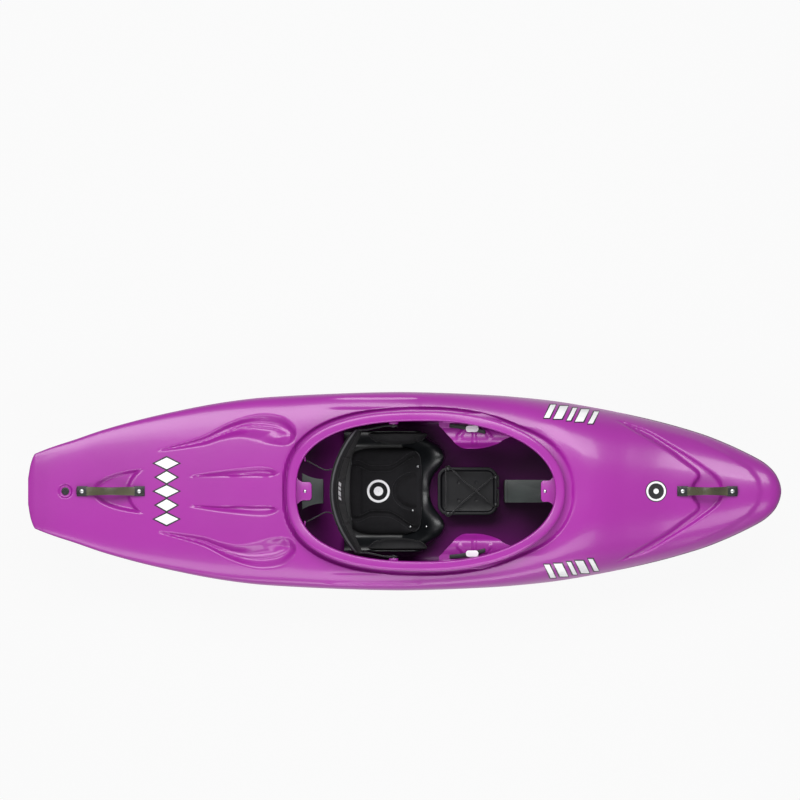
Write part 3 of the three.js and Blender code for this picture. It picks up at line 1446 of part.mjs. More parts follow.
function makeStrapPin() {
  const length = anchorLugThickness + anchorPinHeadHeight + strapThickness;
  const pin = makeBoltSolid(anchorPinRadius, length, anchorPinRadius * 2, anchorPinHeadHeight);
  const seatY = anchorLugY - anchorPinHeadHeight - strapThickness - clearance;
  return moved(pin.rotate([90, 0, 0]), anchorX, seatY, anchorZ);
}

function makeBandCordLug() {
  const [x, y, z] = bandCordStart;
  const cord = bandCordDiameter;
  return block(x - hullWall, y - cord, z - cord, x - clearance, y + 3 * cord, z + 5 * cord);
}

// Thigh braces: purple lobes that hook inwards over the thighs, and slide under a ledge of the hull
const braceReachCurve = through(braceReachShares);

function bracePlace(u, v, face) {
  const x = THREE.MathUtils.lerp(braceRearX, braceFrontX, u);
  const reach = braceNeckY + (braceReachY - braceNeckY) * braceReachCurve(u)[0];
  const y = THREE.MathUtils.lerp(braceRootY, reach, v);
  return new THREE.Vector3(x, y, braceTopAt(x, y) + (face - 1) * braceSheet / 2);
}

function makeBrace() {
  const plate = panel(9, 8, (u, v) => bracePlace(u, v, -1), (u, v) => bracePlace(u, v, 1));
  return plate.subtract(braceBoltHole());
}

function braceTopAt(x, y) {
  const out = THREE.MathUtils.clamp((braceSwellY - y) / (braceSwellY - braceReachY), 0, 1);
  const swell = Math.sin(Math.PI * out) * braceSwell;
  return braceLineZ(x) - clearance + swell - smoothStep(0.62, 1, out) * braceHook;
}

function braceBoltHole() {
  const hole = disc(pillarBoltRadius * 0.7 + clearance, -cutOverrun, cutOverrun, boltSides);
  return moved(hole, braceBoltX, braceBoltY, braceTopAt(braceBoltX, braceBoltY));
}

function makeBraceStrip() {
  const place = (u, v, lift) => {
    const x = THREE.MathUtils.lerp(braceStripRearX, braceStripFrontX, u);
    const edge = Math.min(openingHalfWidthAt(x + braceTravel[1]), braceLedgeInnerY);
    const outer = edge - 4 * clearance;
    return new THREE.Vector3(x, outer - v * braceStripWidth, braceTopAt(x, outer - braceStripWidth) + lift);
  };
  const top = braceStripGap + braceStripHeight;
  return panel(4, 1, (u, v) => place(u, v, braceStripGap), (u, v) => place(u, v, top));
}

function makeBracePad() {
  const under = (u, v, drop) => {
    const place = bracePlace(0.1 + 0.8 * u, 0.12 + 0.74 * v, -1);
    return new THREE.Vector3(place.x, place.y, place.z - bracePadGap - drop);
  };
  return panel(6, 6, (u, v) => {
    const edge = (Math.sin(Math.PI * u) * Math.sin(Math.PI * v)) ** 0.35;
    return under(u, v, bracePadThickness * (0.5 + 0.5 * edge));
  }, (u, v) => under(u, v, 0));
}

function makeBraceBolt() {
  const radius = pillarBoltRadius * 0.7;
  const bolt = makeBoltSolid(radius, braceSheet, pillarBoltHeadRadius * 0.8, pillarBoltHeadHeight * 0.8);
  return moved(bolt, braceBoltX, braceBoltY, braceTopAt(braceBoltX, braceBoltY) + braceBoltLift);
}

// The whole boat
addPiece('hull_shell', makeHull(), purple);
addHandle(sternHandle);
addHandle(bowHandle);
addPiece('drain_washer', makeGasket(), rubber);
addPiece('drain_plug', makePlug(), blackPlastic);
addSideBolts();

const seatPan = makeSeatPan();
const seatPad = makeSeatPad();
addPiece('seat_pan', seatPan, blackPlastic);
addPiece('seat_pad', seatPad, blackFoam);
addStuds(seatPan, seatPad);
addTray();

addPiece('front_pillar', makeFrontPillar(), greyFoam);
addPiece('front_pillar_cap', makeFrontCap(), greyFoam);
addPiece('rear_pillar', makeRearPillar(), blackFoam);
addPiece('rear_pillar_cap', makeRearCap(), blackFoam);
addPillarBolts();

addPiece('back_band', makeBackBand(), blackFoam);
addPiece('foot_plate', makeFootPlate(), aluminium);
addPiece('foot_foam', makeFootFoam(), blackFoam);

const pairs = [
  ['seat_rail', makeSeatRail, blackPlastic],
  ['hip_pad', makeHipPad, blackFoam],
  ['back_strap', makeSideStrap, webbing],
  ['strap_pin', makeStrapPin, steel],
  ['band_cord', () => cord(bandCordRoute, bandCordDiameter, 12), cordFinish],
  ['thigh_brace', makeBrace, purple],
  ['brace_strip', makeBraceStrip, blackPlastic],
  ['brace_pad', makeBracePad, blackFoam],
  ['brace_bolt', makeBraceBolt, steel],
  ['foot_rail', makeFootRail, aluminium],
];
for (const [name, make, finish] of pairs) {
  addPiece(`${name}_left`, make(), finish);
  addPiece(`${name}_right`, mirrored(make()), finish);
}

export default kayak;
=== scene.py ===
# %% [markdown]
# # A half-slice whitewater kayak
#
# The boat is one moulded shell with black outfitting inside it. Its solids and its moving bodies come ready
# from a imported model, and this lesson dresses them: each piece is modelled again with more detail, in metres
# and in the same place, and gets a finish made of shader nodes.

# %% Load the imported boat
import math

import bmesh
import bpy
import numpy as np
from mathutils import Matrix, Vector


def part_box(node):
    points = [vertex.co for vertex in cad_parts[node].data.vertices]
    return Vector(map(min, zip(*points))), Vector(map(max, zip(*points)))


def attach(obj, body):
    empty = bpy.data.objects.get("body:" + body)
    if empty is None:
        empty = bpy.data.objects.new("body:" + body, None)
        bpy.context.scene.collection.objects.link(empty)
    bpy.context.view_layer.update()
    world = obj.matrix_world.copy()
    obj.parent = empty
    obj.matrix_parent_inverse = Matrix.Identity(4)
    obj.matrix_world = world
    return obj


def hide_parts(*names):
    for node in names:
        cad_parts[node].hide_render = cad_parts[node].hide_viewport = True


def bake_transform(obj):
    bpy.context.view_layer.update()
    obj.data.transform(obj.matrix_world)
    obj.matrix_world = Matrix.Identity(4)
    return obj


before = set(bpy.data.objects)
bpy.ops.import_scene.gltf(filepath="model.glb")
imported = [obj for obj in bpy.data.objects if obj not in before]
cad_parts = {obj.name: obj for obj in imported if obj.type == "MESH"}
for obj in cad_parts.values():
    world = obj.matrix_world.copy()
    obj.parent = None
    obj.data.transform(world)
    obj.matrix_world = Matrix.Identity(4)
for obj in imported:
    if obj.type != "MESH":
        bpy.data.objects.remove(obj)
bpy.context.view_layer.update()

# %% [markdown]
# ## Camera
#
# The boat is seen straight from above with its bow to the right, from far away, so that near and far parts
# keep nearly one scale. A long lens does that. The boat lies below the middle of the picture, which the
# lens's vertical shift gives without turning the camera.

# %% Camera over the boat
view_width = 2.69
view_middle = Vector((-0.0143, 0, 0.31))
line_below_middle = 0.114
lens_mm = 200

camera_data = bpy.data.cameras.new("camera")
camera_data.lens = lens_mm
camera_data.shift_y = line_below_middle
camera_height = view_width * lens_mm / camera_data.sensor_width
camera = bpy.data.objects.new("camera", camera_data)
camera.location = view_middle + Vector((0, 0, camera_height))
bpy.context.scene.collection.objects.link(camera)
bpy.context.scene.camera = camera
print(f"camera {camera_height:.2f} m over the boat")

# %% [markdown]
# ## Writing finishes
#
# A finish is a Principled shader whose sockets take numbers, colours or wires. A wire is a node's output that
# can be added and multiplied in Python, so a bump or a stain reads like a formula. This is easier to change
# than nodes that are placed by hand.

# %% A wire between nodes
class Wire:
    """A node's output that Python's operators turn into more Math nodes."""

    def __init__(self, nodes, socket):
        self.nodes = nodes
        self.socket = socket

    def maths(self, operation, *others):
        inputs = dict(enumerate((self, *others)))
        return self.nodes.node("ShaderNodeMath", {"operation": operation}, inputs)

    def __add__(self, other):
        return self.maths("ADD", other)

    def __sub__(self, other):
        return self.maths("SUBTRACT", other)

    def __mul__(self, other):
        return self.maths("MULTIPLY", other)

    __radd__ = __add__
    __rmul__ = __mul__

    def __rsub__(self, other):
        return self * -1 + other


# %% A tree of nodes and a finish
class Nodes:
    """A tree that nodes are added to, with numbers, colours or wires in their sockets."""

    def __init__(self, tree):
        self.tree = tree

    def node(self, kind, settings=None, inputs=None, output=0):
        made = self.tree.nodes.new(kind)
        for name, value in (settings or {}).items():
            setattr(made, name, value)
        for name, value in (inputs or {}).items():
            self.feed(made.inputs[name], value)
        return Wire(self, made.outputs[output])

    def feed(self, socket, value):
        if isinstance(value, Wire):
            self.tree.links.new(value.socket, socket)
        else:
            socket.default_value = value


class Finish(Nodes):
    """A material with one Principled shader, in its base colour and roughness."""

    def __init__(self, name, color, roughness, **sockets):
        self.material = bpy.data.materials.new(name)
        self.material.use_nodes = True
        self.material.diffuse_color = (*color, 1)
        super().__init__(self.material.node_tree)
        self.shader = self.tree.nodes["Principled BSDF"]
        self.color = color
        self.set("Base Color", (*color, 1))
        self.set("Roughness", roughness)
        for socket, value in sockets.items():
            self.set(socket.replace("_", " "), value)
        self.place = self.node("ShaderNodeTexCoord", output="Object")

    def set(self, socket, value):
        self.feed(self.shader.inputs[socket], value)

    def noise(self, scale, detail=2, place=None):
        inputs = {"Vector": place or self.place, "Scale": scale, "Detail": detail}
        return self.node("ShaderNodeTexNoise", None, inputs)

    def cells(self, scale):
        inputs = {"Vector": self.place, "Scale": scale}
        return self.node("ShaderNodeTexVoronoi", None, inputs, output="Distance")

    def ramp(self, wire, low, high):
        inputs = {"Value": wire, "From Min": low, "From Max": high}
        return self.node("ShaderNodeMapRange", None, inputs)

    def mix(self, share, first, second):
        inputs = {0: share, 6: first, 7: second}
        return self.node("ShaderNodeMix", {"data_type": "RGBA"}, inputs, output=2)

    def shade(self, share, factor):
        """Base colour that goes to a darker or paler one where the share is high."""
        other = tuple(min(1, part * factor) for part in self.color)
        self.set("Base Color", self.mix(share, (*self.color, 1), (*other, 1)))

    def bump(self, height, depth, before=None):
        inputs = {"Height": height, "Distance": depth, "Strength": 1}
        if before:
            inputs["Normal"] = before
        return self.node("ShaderNodeBump", None, inputs)


# %% [markdown]
# ## Finishes of the boat
#
# The shell is rotationally moulded polyethylene: satin, a little waxy, with a faint orange peel from the
# mould and clouds where the pigment settled. Foam is matt with fine closed cells, neoprene has a knit on it,
# and the moulded black plastic has a fine grain. Pictures could be laid on the pieces for that, but they
# would need unwrapped meshes and blur when seen close. Noise and cells on Object coordinates need neither,
# and each grain is sized in metres as on the real thing.

# %% Polyethylene and grained plastics
def make_polyethylene(name, color, shine=0.5):
    finish = Finish(name, color, 0.3, Coat_Roughness=0.12, Specular_IOR_Level=shine)
    clouds = finish.noise(4, 3)
    specks = finish.noise(160, 2)
    finish.shade(finish.ramp(clouds * 0.8 + specks * 0.2, 0.1, 0.95), 0.82)
    scuffs = finish.noise(9, 4)
    finish.set("Roughness", clouds * 0.08 + scuffs * 0.08 + 0.235)
    peel = finish.noise(150, 1)
    waves = finish.noise(22, 1)
    soft = finish.bump(waves, 0.0003)
    finish.set("Normal", finish.bump(peel, 0.00002, soft))
    finish.set("Coat Weight", clouds * 0.6 * shine + 0.35 * shine)
    return finish


def make_grained(name, color, roughness, grain=900, depth=0.00012, **sockets):
    finish = Finish(name, color, roughness, **sockets)
    grains = finish.cells(grain)
    wear = finish.noise(14, 3)
    finish.shade(finish.ramp(wear, 0.45, 0.75), 1.5)
    finish.set("Roughness", finish.ramp(wear, 0.3, 0.8) * 0.12 + (roughness - 0.05))
    finish.set("Normal", finish.bump(grains, depth))
    return finish


# %% Foam, neoprene and metal
def make_foam(name, color, cell=600):
    finish = Finish(name, color, 0.85, Sheen_Weight=0.04, Sheen_Roughness=0.5, Specular_IOR_Level=0.18)
    cells = finish.cells(cell)
    dents = finish.noise(40, 3)
    finish.shade(finish.ramp(cells * 0.5 + dents * 0.5, 0.2, 0.6), 1.6)
    finish.set("Normal", finish.bump(cells, 0.0004, finish.bump(dents, 0.0015)))
    return finish


def make_neoprene(name, color):
    finish = Finish(name, color, 0.62, Sheen_Weight=0.06, Sheen_Roughness=0.4, Specular_IOR_Level=0.25)
    rows = finish.node("ShaderNodeTexWave", {"wave_type": "BANDS", "bands_direction": "DIAGONAL"},
                       {"Vector": finish.place, "Scale": 260, "Distortion": 2, "Detail": 1})
    folds = finish.noise(18, 2)
    finish.shade(finish.ramp(folds, 0.4, 0.75), 1.7)
    finish.set("Normal", finish.bump(rows, 0.0002, finish.bump(folds, 0.003)))
    return finish


def make_metal(name, color, roughness):
    finish = Finish(name, color, roughness, Metallic=1)
    brushed = finish.node("ShaderNodeMapping", None, {"Vector": finish.place, "Scale": (1, 40, 40)})
    lines = finish.noise(90, 3, brushed)
    finish.shade(finish.ramp(lines, 0.35, 0.7), 0.8)
    finish.set("Roughness", lines * 0.2 + (roughness - 0.08))
    finish.set("Normal", finish.bump(lines, 0.00003))
    return finish


# %% The boat's finishes
purple = make_polyethylene("moulded polyethylene", (0.35, 0.018, 0.325))
# The inner wall is the shell's own plastic. Its base colour, about half the shell's, is painted shade for the
# dim inside of the hull.
shaded_inner_purple = make_polyethylene("inner wall of polyethylene in painted shade", (0.17, 0.010, 0.165), 0.12)
black_plastic = make_grained("black moulded plastic", (0.006, 0.007, 0.008), 0.33)
grip_plastic = make_grained("olive grip plastic", (0.055, 0.052, 0.028), 0.3, grain=500, depth=0.0002)
rubber = make_grained("black rubber", (0.006, 0.006, 0.006), 0.7, grain=1300)
foam = make_foam("black foam", (0.0068, 0.0066, 0.0076))
pillar_foam = make_foam("charcoal foam", (0.025, 0.033, 0.029), cell=420)
neoprene = make_neoprene("black neoprene", (0.0060, 0.0060, 0.0068))
steel = make_metal("stainless steel", (0.56, 0.57, 0.58), 0.3)
aluminium = make_metal("satin aluminium", (0.33, 0.34, 0.36), 0.42)
cap_plastic = make_grained("charcoal plastic", (0.013, 0.017, 0.016), 0.45, grain=500,
                           Specular_IOR_Level=0.35)
tray_plastic = make_grained("black tray plastic", (0.005, 0.005, 0.0065), 0.42, Specular_IOR_Level=0.25)
sewing = make_grained("sewing thread and binding", (0.034, 0.035, 0.038), 0.6, grain=1500)
sticker_white = make_grained("white sticker", (0.78, 0.78, 0.8), 0.4, grain=300, depth=0.00002)
sticker_black = make_grained("black sticker", (0.012, 0.012, 0.014), 0.35, grain=300, depth=0.00002)
print(len(bpy.data.materials), "finishes so far")

# %% [markdown]
# Webbing shows ribs across the strap, and a cord shows the crossing strands of its braid. On Object
# coordinates both patterns would slide along a bent piece. So these two finishes read the piece's own map,
# which follows it along its length, and two slanted waves make the strands.

# %% Webbing and braid
def make_woven(name, color, across, along, depth):
    finish = Finish(name, color, 0.75, Sheen_Weight=0.3, Sheen_Roughness=0.45)
    uv = finish.node("ShaderNodeUVMap", {"uv_map": "weave"})
    u = finish.node("ShaderNodeSeparateXYZ", None, {"Vector": uv}, output="X")
    v = finish.node("ShaderNodeSeparateXYZ", None, {"Vector": uv}, output="Y")
    first = (u * across + v * along).maths("SINE")
    second = (u * across - v * along).maths("SINE")
    strands = first * second
    finish.shade(finish.ramp(strands, -0.6, 0.8), 2.2)
    finish.set("Normal", finish.bump(strands, depth))
    return finish


webbing = make_woven("black webbing", (0.008, 0.008, 0.010), 60, 2200, 0.0004)
braid = make_woven("black braided cord", (0.006, 0.006, 0.007), 25.13, 1300, 0.0003)
print(len(bpy.data.materials), "finishes with webbing and braid")

# %% [markdown]
# ## Placing pieces
#
# Every piece is a mesh whose object sits at the origin, rides on one of the moving bodies and stands for the
# solids that it replaces. One helper does all of that, so no piece is forgotten. Most pieces stand for one
# solid of the same name.

# %% Make a piece
sides = ((1, "left"), (-1, "right"))


def piece(name, bm, finish, body, slot, *nodes, sharp=40):
    """Turns a bmesh into an object of the boat that is smooth up to an angle. One without a body is not
    attached.
    """
    bmesh.ops.remove_doubles(bm, verts=bm.verts, dist=0.00001)
    bmesh.ops.recalc_face_normals(bm, faces=bm.faces)
    for edge in bm.edges:
        edge.smooth = len(edge.link_faces) != 2 or edge.calc_face_angle(0) < math.radians(sharp)
    for face in bm.faces:
        face.smooth = True
    mesh = bpy.data.meshes.new(name)
    bm.to_mesh(mesh)
    bm.free()
    for each in finish if isinstance(finish, list) else [finish]:
        mesh.materials.append(each.material)
    made = bpy.data.objects.new(name + "_dressed", mesh)
    bpy.context.scene.collection.objects.link(made)
    if body:
        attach(made, body)
    if nodes:
        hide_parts(*nodes)
    return made


def dressed(node, bm, finish, body, slot, sharp=40):
    """A piece that stands for the solid of its own name."""
    return piece(node, bm, finish, body, slot, node, sharp=sharp)


def mapped(columns, rows, place):
    """A grid whose every point is placed by its shares across and along."""
    bm = bmesh.new()
    bmesh.ops.create_grid(bm, x_segments=columns, y_segments=rows, size=0.5)
    shares = np.array([vert.co[:2] for vert in bm.verts]) + 0.5
    for vert, co in zip(bm.verts, place(shares[:, 0], shares[:, 1])):
        vert.co = co
    return bm


def smooth_step(low, high, value):
    share = np.clip((value - low) / (high - low), 0, 1)
    return share * share * (3 - 2 * share)


# %% [markdown]
# ## Lines of the hull
#
# A hull is drawn by its lines: for stations from stern to bow, the half-breadth and the heights of keel,
# gunwale and deck. The hull could be sculpted from a box, but its sections would never be fair. A smooth
# curve through each row gives every section in between, as a loftsman's batten does. The shares here are the
# same as those of the solid model.

# %% Tables of the stations
hull_length, hull_beam, hull_height = 2.53, 0.67, 0.4
hull_wall = 0.005
gunwale_band = 0.012

# Share of the length, half-breadth, keel, gunwale, deck, fullness of the deck's arch
station_shares = [
    [0.000, 0.13, 0.755, 0.765, 0.775, 3.0], [0.0025, 0.245, 0.747, 0.764, 0.778, 3.0],
    [0.0055, 0.322, 0.739, 0.762, 0.781, 3.0], [0.0085, 0.368, 0.733, 0.761, 0.783, 3.0],
    [0.012, 0.383, 0.727, 0.759, 0.784, 3.0], [0.030, 0.435, 0.690, 0.745, 0.787, 3.2],
    [0.060, 0.51, 0.627, 0.712, 0.770, 3.4], [0.100, 0.615, 0.550, 0.665, 0.735, 3.4],
    [0.150, 0.722, 0.437, 0.610, 0.703, 3.4], [0.200, 0.81, 0.330, 0.562, 0.682, 3.5],
    [0.250, 0.883, 0.238, 0.532, 0.680, 3.7], [0.300, 0.934, 0.170, 0.508, 0.697, 4.0],
    [0.350, 0.961, 0.118, 0.483, 0.715, 4.6], [0.400, 0.980, 0.065, 0.457, 0.718, 5.4],
    [0.450, 0.994, 0.018, 0.433, 0.732, 6.0], [0.475, 0.998, 0.000, 0.421, 0.745, 6.0],
    [0.500, 1.000, 0.000, 0.412, 0.762, 6.0], [0.550, 0.992, 0.000, 0.401, 0.812, 6.0],
    [0.600, 0.976, 0.000, 0.395, 0.875, 5.6], [0.640, 0.957, 0.000, 0.396, 0.930, 4.8],
    [0.700, 0.910, 0.038, 0.406, 0.990, 3.4], [0.750, 0.848, 0.070, 0.420, 0.983, 2.8],
    [0.800, 0.773, 0.128, 0.447, 0.928, 2.5], [0.850, 0.682, 0.208, 0.495, 0.885, 2.35],
    [0.900, 0.567, 0.325, 0.567, 0.880, 2.25], [0.930, 0.475, 0.425, 0.627, 0.890, 2.2],
    [0.955, 0.384, 0.522, 0.692, 0.907, 2.15], [0.975, 0.300, 0.630, 0.750, 0.913, 2.1],
    [0.985, 0.240, 0.705, 0.785, 0.912, 2.1], [0.9925, 0.172, 0.776, 0.818, 0.901, 2.0],
    [0.997, 0.106, 0.814, 0.836, 0.884, 2.0], [0.9992, 0.052, 0.832, 0.847, 0.868, 2.0],
    [1.000, 0.015, 0.838, 0.850, 0.862, 2.0],
]
# Share of the length, then height and breadth of the lower chine and of the flat bottom's edge
chine_shares = [
    [0, 0.5, 0.97, 0.15, 0.8], [0.2, 0.38, 0.96, 0.16, 0.86], [0.45, 0.4, 0.95, 0.15, 0.84],
    [0.65, 0.36, 0.93, 0.13, 0.8], [0.8, 0.29, 0.86, 0.12, 0.66], [0.93, 0.2, 0.72, 0.09, 0.42],
    [1, 0.16, 0.6, 0.08, 0.3],
]
flat_bottom_share = 0.85
print(len(station_shares), "stations and", len(chine_shares), "rows of the chine")


# %% Curves through the stations
def curve_through(rows):
    """A cubic through a table's rows, whose slope at a row is that between its neighbours."""
    table = np.array(rows, dtype=float)
    places, values = table[:, 0], table[:, 1:]
    slopes = np.empty_like(values)
    slopes[1:-1] = (values[2:] - values[:-2]) / (places[2:] - places[:-2])[:, None]
    slopes[0] = (values[1] - values[0]) / (places[1] - places[0])
    slopes[-1] = (values[-1] - values[-2]) / (places[-1] - places[-2])

    def at(place):
        place = np.clip(np.atleast_1d(place), places[0], places[-1])
        low = np.clip(np.searchsorted(places, place, side="right") - 1, 0, len(places) - 2)
        span = places[low + 1] - places[low]
        share = ((place - places[low]) / span)[:, None]
        span = span[:, None]
        rise = 3 * share ** 2 - 2 * share ** 3
        out = (share - 2 * share ** 2 + share ** 3) * span * slopes[low]
        back = (share ** 3 - share ** 2) * span * slopes[low + 1]
        return values[low] * (1 - rise) + values[low + 1] * rise + out + back

    return at


station_curve = curve_through(station_shares)
chine_curve = curve_through(chine_shares)


def station_at(x):
    half, keel, gunwale, deck, fullness = station_curve(x / hull_length + 0.5)[0]
    return {
        "half": half * hull_beam / 2, "keel": max(0, keel) * hull_height, "gunwale": gunwale * hull_height,
        "deck": deck * hull_height, "fullness": fullness, "chine": chine_curve(x / hull_length + 0.5)[0],
    }


def deck_height(x, y):
    """Height of the smooth deck over many places at once, before anything is pressed into it."""
    half, keel, gunwale, deck, fullness = station_curve(np.asarray(x) / hull_length + 0.5).T
    band = gunwale_band / 2
    arch = np.clip(1 - (np.abs(y) / (half * hull_beam / 2)).clip(0, 1) ** fullness, 0, 1) ** (1 / fullness)
    low = gunwale * hull_height + band
    return low + (deck * hull_height - low) * arch


print("deck over the middle of the boat:", deck_height([0], [0]))

# %% [markdown]
# ## Outline of the cockpit
#
# The rim is an oval that is blunter at the rear than at the front. A superellipse gives both with one power
# each, and the same formula drawn in by an inset gives the neck, the opening and the moat.

# %% The cockpit's oval
rim_length, rim_width, rim_middle = 0.934, 0.537, 0.071
rim_rear, rim_front = rim_middle - rim_length / 2, rim_middle + rim_length / 2
rim_lip, rim_lip_depth, neck_wall, neck_root = 0.026, 0.018, 0.007, 0.009
opening_inset = rim_lip + neck_wall
skin_inset = rim_lip + neck_wall / 2
front_power, rear_power = 2.1, 2.6
# Share of the rim's length, height of its top as a share of the hull's height
rim_top_shares = [
    [0, 0.785], [0.06, 0.812], [0.17, 0.837], [0.28, 0.848], [0.39, 0.873], [0.5, 0.932], [0.61, 0.983],
    [0.72, 1.035], [0.83, 1.06], [0.885, 1.066], [0.94, 1.056], [1, 1.03],
]
rim_top_curve = curve_through(rim_top_shares)


def oval(turn, inset):
    """Points of the cockpit's outline, drawn in by an inset, at shares of a whole turn."""
    angle = np.asarray(turn) * 2 * math.pi
    power = 2 / np.where(np.cos(angle) > 0, front_power, rear_power)
    along = np.sign(np.cos(angle)) * np.abs(np.cos(angle)) ** power
    across = np.sign(np.sin(angle)) * np.abs(np.sin(angle)) ** power
    return rim_middle + (rim_length / 2 - inset) * along, (rim_width / 2 - inset) * across


def oval_half_width(x, inset):
    along = (np.asarray(x) - rim_middle) / (rim_length / 2 - inset)
    power = np.where(along > 0, front_power, rear_power)
    return (rim_width / 2 - inset) * np.clip(1 - np.abs(along) ** power, 0, 1) ** (1 / power)


def rim_top(x):
    return rim_top_curve((np.asarray(x) - rim_rear) / rim_length)[:, 0] * hull_height


print(f"rim from {rim_rear:.3f} to {rim_front:.3f} m")

# %% [markdown]
# ## Shapes pressed into the deck
#
# The mould presses scoops, grooves and recesses into the deck. A boolean cut would leave edges as sharp as a
# knife's. Here each recess is an outline seen from above, and a depth that grows with the distance from its
# edge. A short distance gives a steep wall and a long one gives a soft edge. A scoop or a groove is deepest
# between its two edges, and its own section says how it falls from one and rises to the other.

# %% Distances to outlines
curve_parts = 6


def closed_curve(points):
    """A smooth closed line: the curve through the points, which meet again at both of its ends."""
    count = len(points)
    rows = [[i, *points[i % count]] for i in range(-1, count + 2)]
    return curve_through(rows)(np.arange(count * curve_parts) / curve_parts)


def distance_to(x, y, starts, ends):
    """Least distance of each place to the straight parts of a line."""
    run = ends - starts
    length = (run ** 2).sum(axis=1).clip(1e-12)
    dx, dy = x[:, None] - starts[None, :, 0], y[:, None] - starts[None, :, 1]
    share = ((dx * run[:, 0] + dy * run[:, 1]) / length).clip(0, 1)
    return np.sqrt(((dx - share * run[:, 0]) ** 2 + (dy - share * run[:, 1]) ** 2).min(axis=1))


def is_inside(x, y, outline):
    starts, ends = outline, np.roll(outline, -1, axis=0)
    crosses = (starts[None, :, 1] > y[:, None]) != (ends[None, :, 1] > y[:, None])
    rise = np.where(ends[:, 1] == starts[:, 1], 1e-12, ends[:, 1] - starts[:, 1])
    meets = starts[:, 0] + (y[:, None] - starts[:, 1]) / rise * (ends[:, 0] - starts[:, 0])
    return (crosses & (x[:, None] < meets)).sum(axis=1) % 2 == 1


def sunk_inside(x, y, outline, depth_at):
    """Depths within an outline, worked out only near it. depth_at gives them from places and line ends."""
    depths = np.zeros_like(x)
    low, high = outline.min(axis=0), outline.max(axis=0)
    near = (x > low[0]) & (x < high[0]) & (y > low[1]) & (y < high[1])
    if near.any():
        xs, ys = x[near], y[near]
        found = depth_at(xs, ys, np.roll(outline, -1, axis=0))
        depths[near] = np.where(is_inside(xs, ys, outline), found, 0)
    return depths


def hollow(x, y, outline, depth, wall):
    """A recess with a flat floor and a wall of one width all around."""
    def depth_at(xs, ys, ends):
        return smooth_step(0, wall, distance_to(xs, ys, outline, ends)) * depth
    return sunk_inside(x, y, outline, depth_at)


def curved_hollow(x, y, outline, split, section, full_width):
    """A recess whose depth follows a section from its outer edge to its inner one, over its own width."""
    def depth_at(xs, ys, ends):
        outer = distance_to(xs, ys, outline[:split], ends[:split])
        inner = distance_to(xs, ys, outline[split:], ends[split:])
        width = (outer + inner).clip(1e-9)
        return section(outer / width) * np.clip(width / full_width, 0, 1) ** 0.8
    return sunk_inside(x, y, outline, depth_at)


# %% Outlines of the recesses
# Seen from above on the left side: along from the tail, across from the inner side
scoop_outline_shares = [
    [0, 0], [0.31, 0.36], [0.5, 0.72], [0.65, 0.93], [0.776, 1], [0.895, 0.92], [0.97, 0.7], [1, 0.49],
    [0.985, 0.3], [0.916, 0.15], [0.776, 0.18], [0.6, 0.34], [0.455, 0.27], [0.31, 0.12],
]
groove_outline_shares = [
    [0, 0], [0.133, 0.3], [0.442, 0.7], [0.75, 1], [0.905, 0.92], [1, 0.45], [0.93, 0.08], [0.7, 0.02],
    [0.35, 0.04],
]
# The bow's groove runs into the hollow under the handle, which crosses the middle
bow_groove_outline_shares = [
    [0, 1], [0.281, 0.872], [0.531, 0.651], [0.703, 0.489], [0.812, 0.375], [0.922, 0.249], [0.984, 0.133],
    [1, 0], [0.984, -0.133], [0.711, -0.12], [0.692, 0], [0.711, 0.12], [0.752, 0.213], [0.718, 0.282],
    [0.594, 0.421], [0.468, 0.56], [0.281, 0.722], [0.062, 0.919],
]


def outline_of(shares, length, width, tail_x, tail_y):
    return closed_curve(np.array(shares) * (length, width) + (tail_x, tail_y))


scoop_depth, groove_depth, bow_groove_depth = 0.024, 0.013, 0.015
scoop_outline = outline_of(scoop_outline_shares, 0.470, 0.128, rim_rear - 0.436, 0.136)
groove_outline = outline_of(groove_outline_shares, 0.296, 0.036, rim_rear - 0.328, 0.049)
bow_groove_outline = outline_of(bow_groove_outline_shares, 0.357, 0.241, hull_length / 2 - 0.552, 0)
drain_x = 0.125 - hull_length / 2
drain_recess_radius, drain_recess_depth = 0.023, 0.007
stern_handle_x = (0.181 - hull_length / 2, 0.372 - hull_length / 2)
bow_handle_x = (hull_length / 2 - 0.332, hull_length / 2 - 0.166)
print(len(scoop_outline), "points around a scoop")

# %% Hollow under the stern handle
fan_depth, moat_depth, side_band_depth, crease_depth = 0.016, 0.013, 0.004, 0.005
moat_reach, front_slope_end = 0.016, 0.63


def fan_outline(tip, middle, corner, half_width):
    """A shell-shaped hollow: a round nose, two wide corners and an edge that curves in between them."""
    share = np.linspace(0, 1, 12)[:, None]

    def bend(first, control, last):
        first, control, last = (np.array(point) for point in (first, control, last))
        return (first * (1 - share) ** 2 + 2 * control * share * (1 - share) + last * share ** 2)[:-1]

    nose = half_width * 0.78
    return np.concatenate([
        bend((tip, 0), (tip, -nose), (corner, -half_width)),
        bend((corner, -half_width), (2 * middle - corner, 0), (corner, half_width)),
        bend((corner, half_width), (tip, nose), (tip, 0)),
    ])


stern_fan = fan_outline(stern_handle_x[0] + 0.038, stern_handle_x[1] - 0.032,
                        stern_handle_x[1] + 0.020, 0.078)
crease_x = (0.60, 0.70, 0.812, 0.974, 1.075, 1.149, 1.175, 1.184)
crease_y = (0.300, 0.262, 0.222, 0.173, 0.120, 0.072, 0.036, 0)
crease = np.column_stack([crease_x, crease_y])
rim_outline = np.column_stack(oval(np.linspace(0, 1, 160, endpoint=False), 0))
print(len(stern_fan), "points around the stern's hollow,", len(rim_outline), "around the rim")


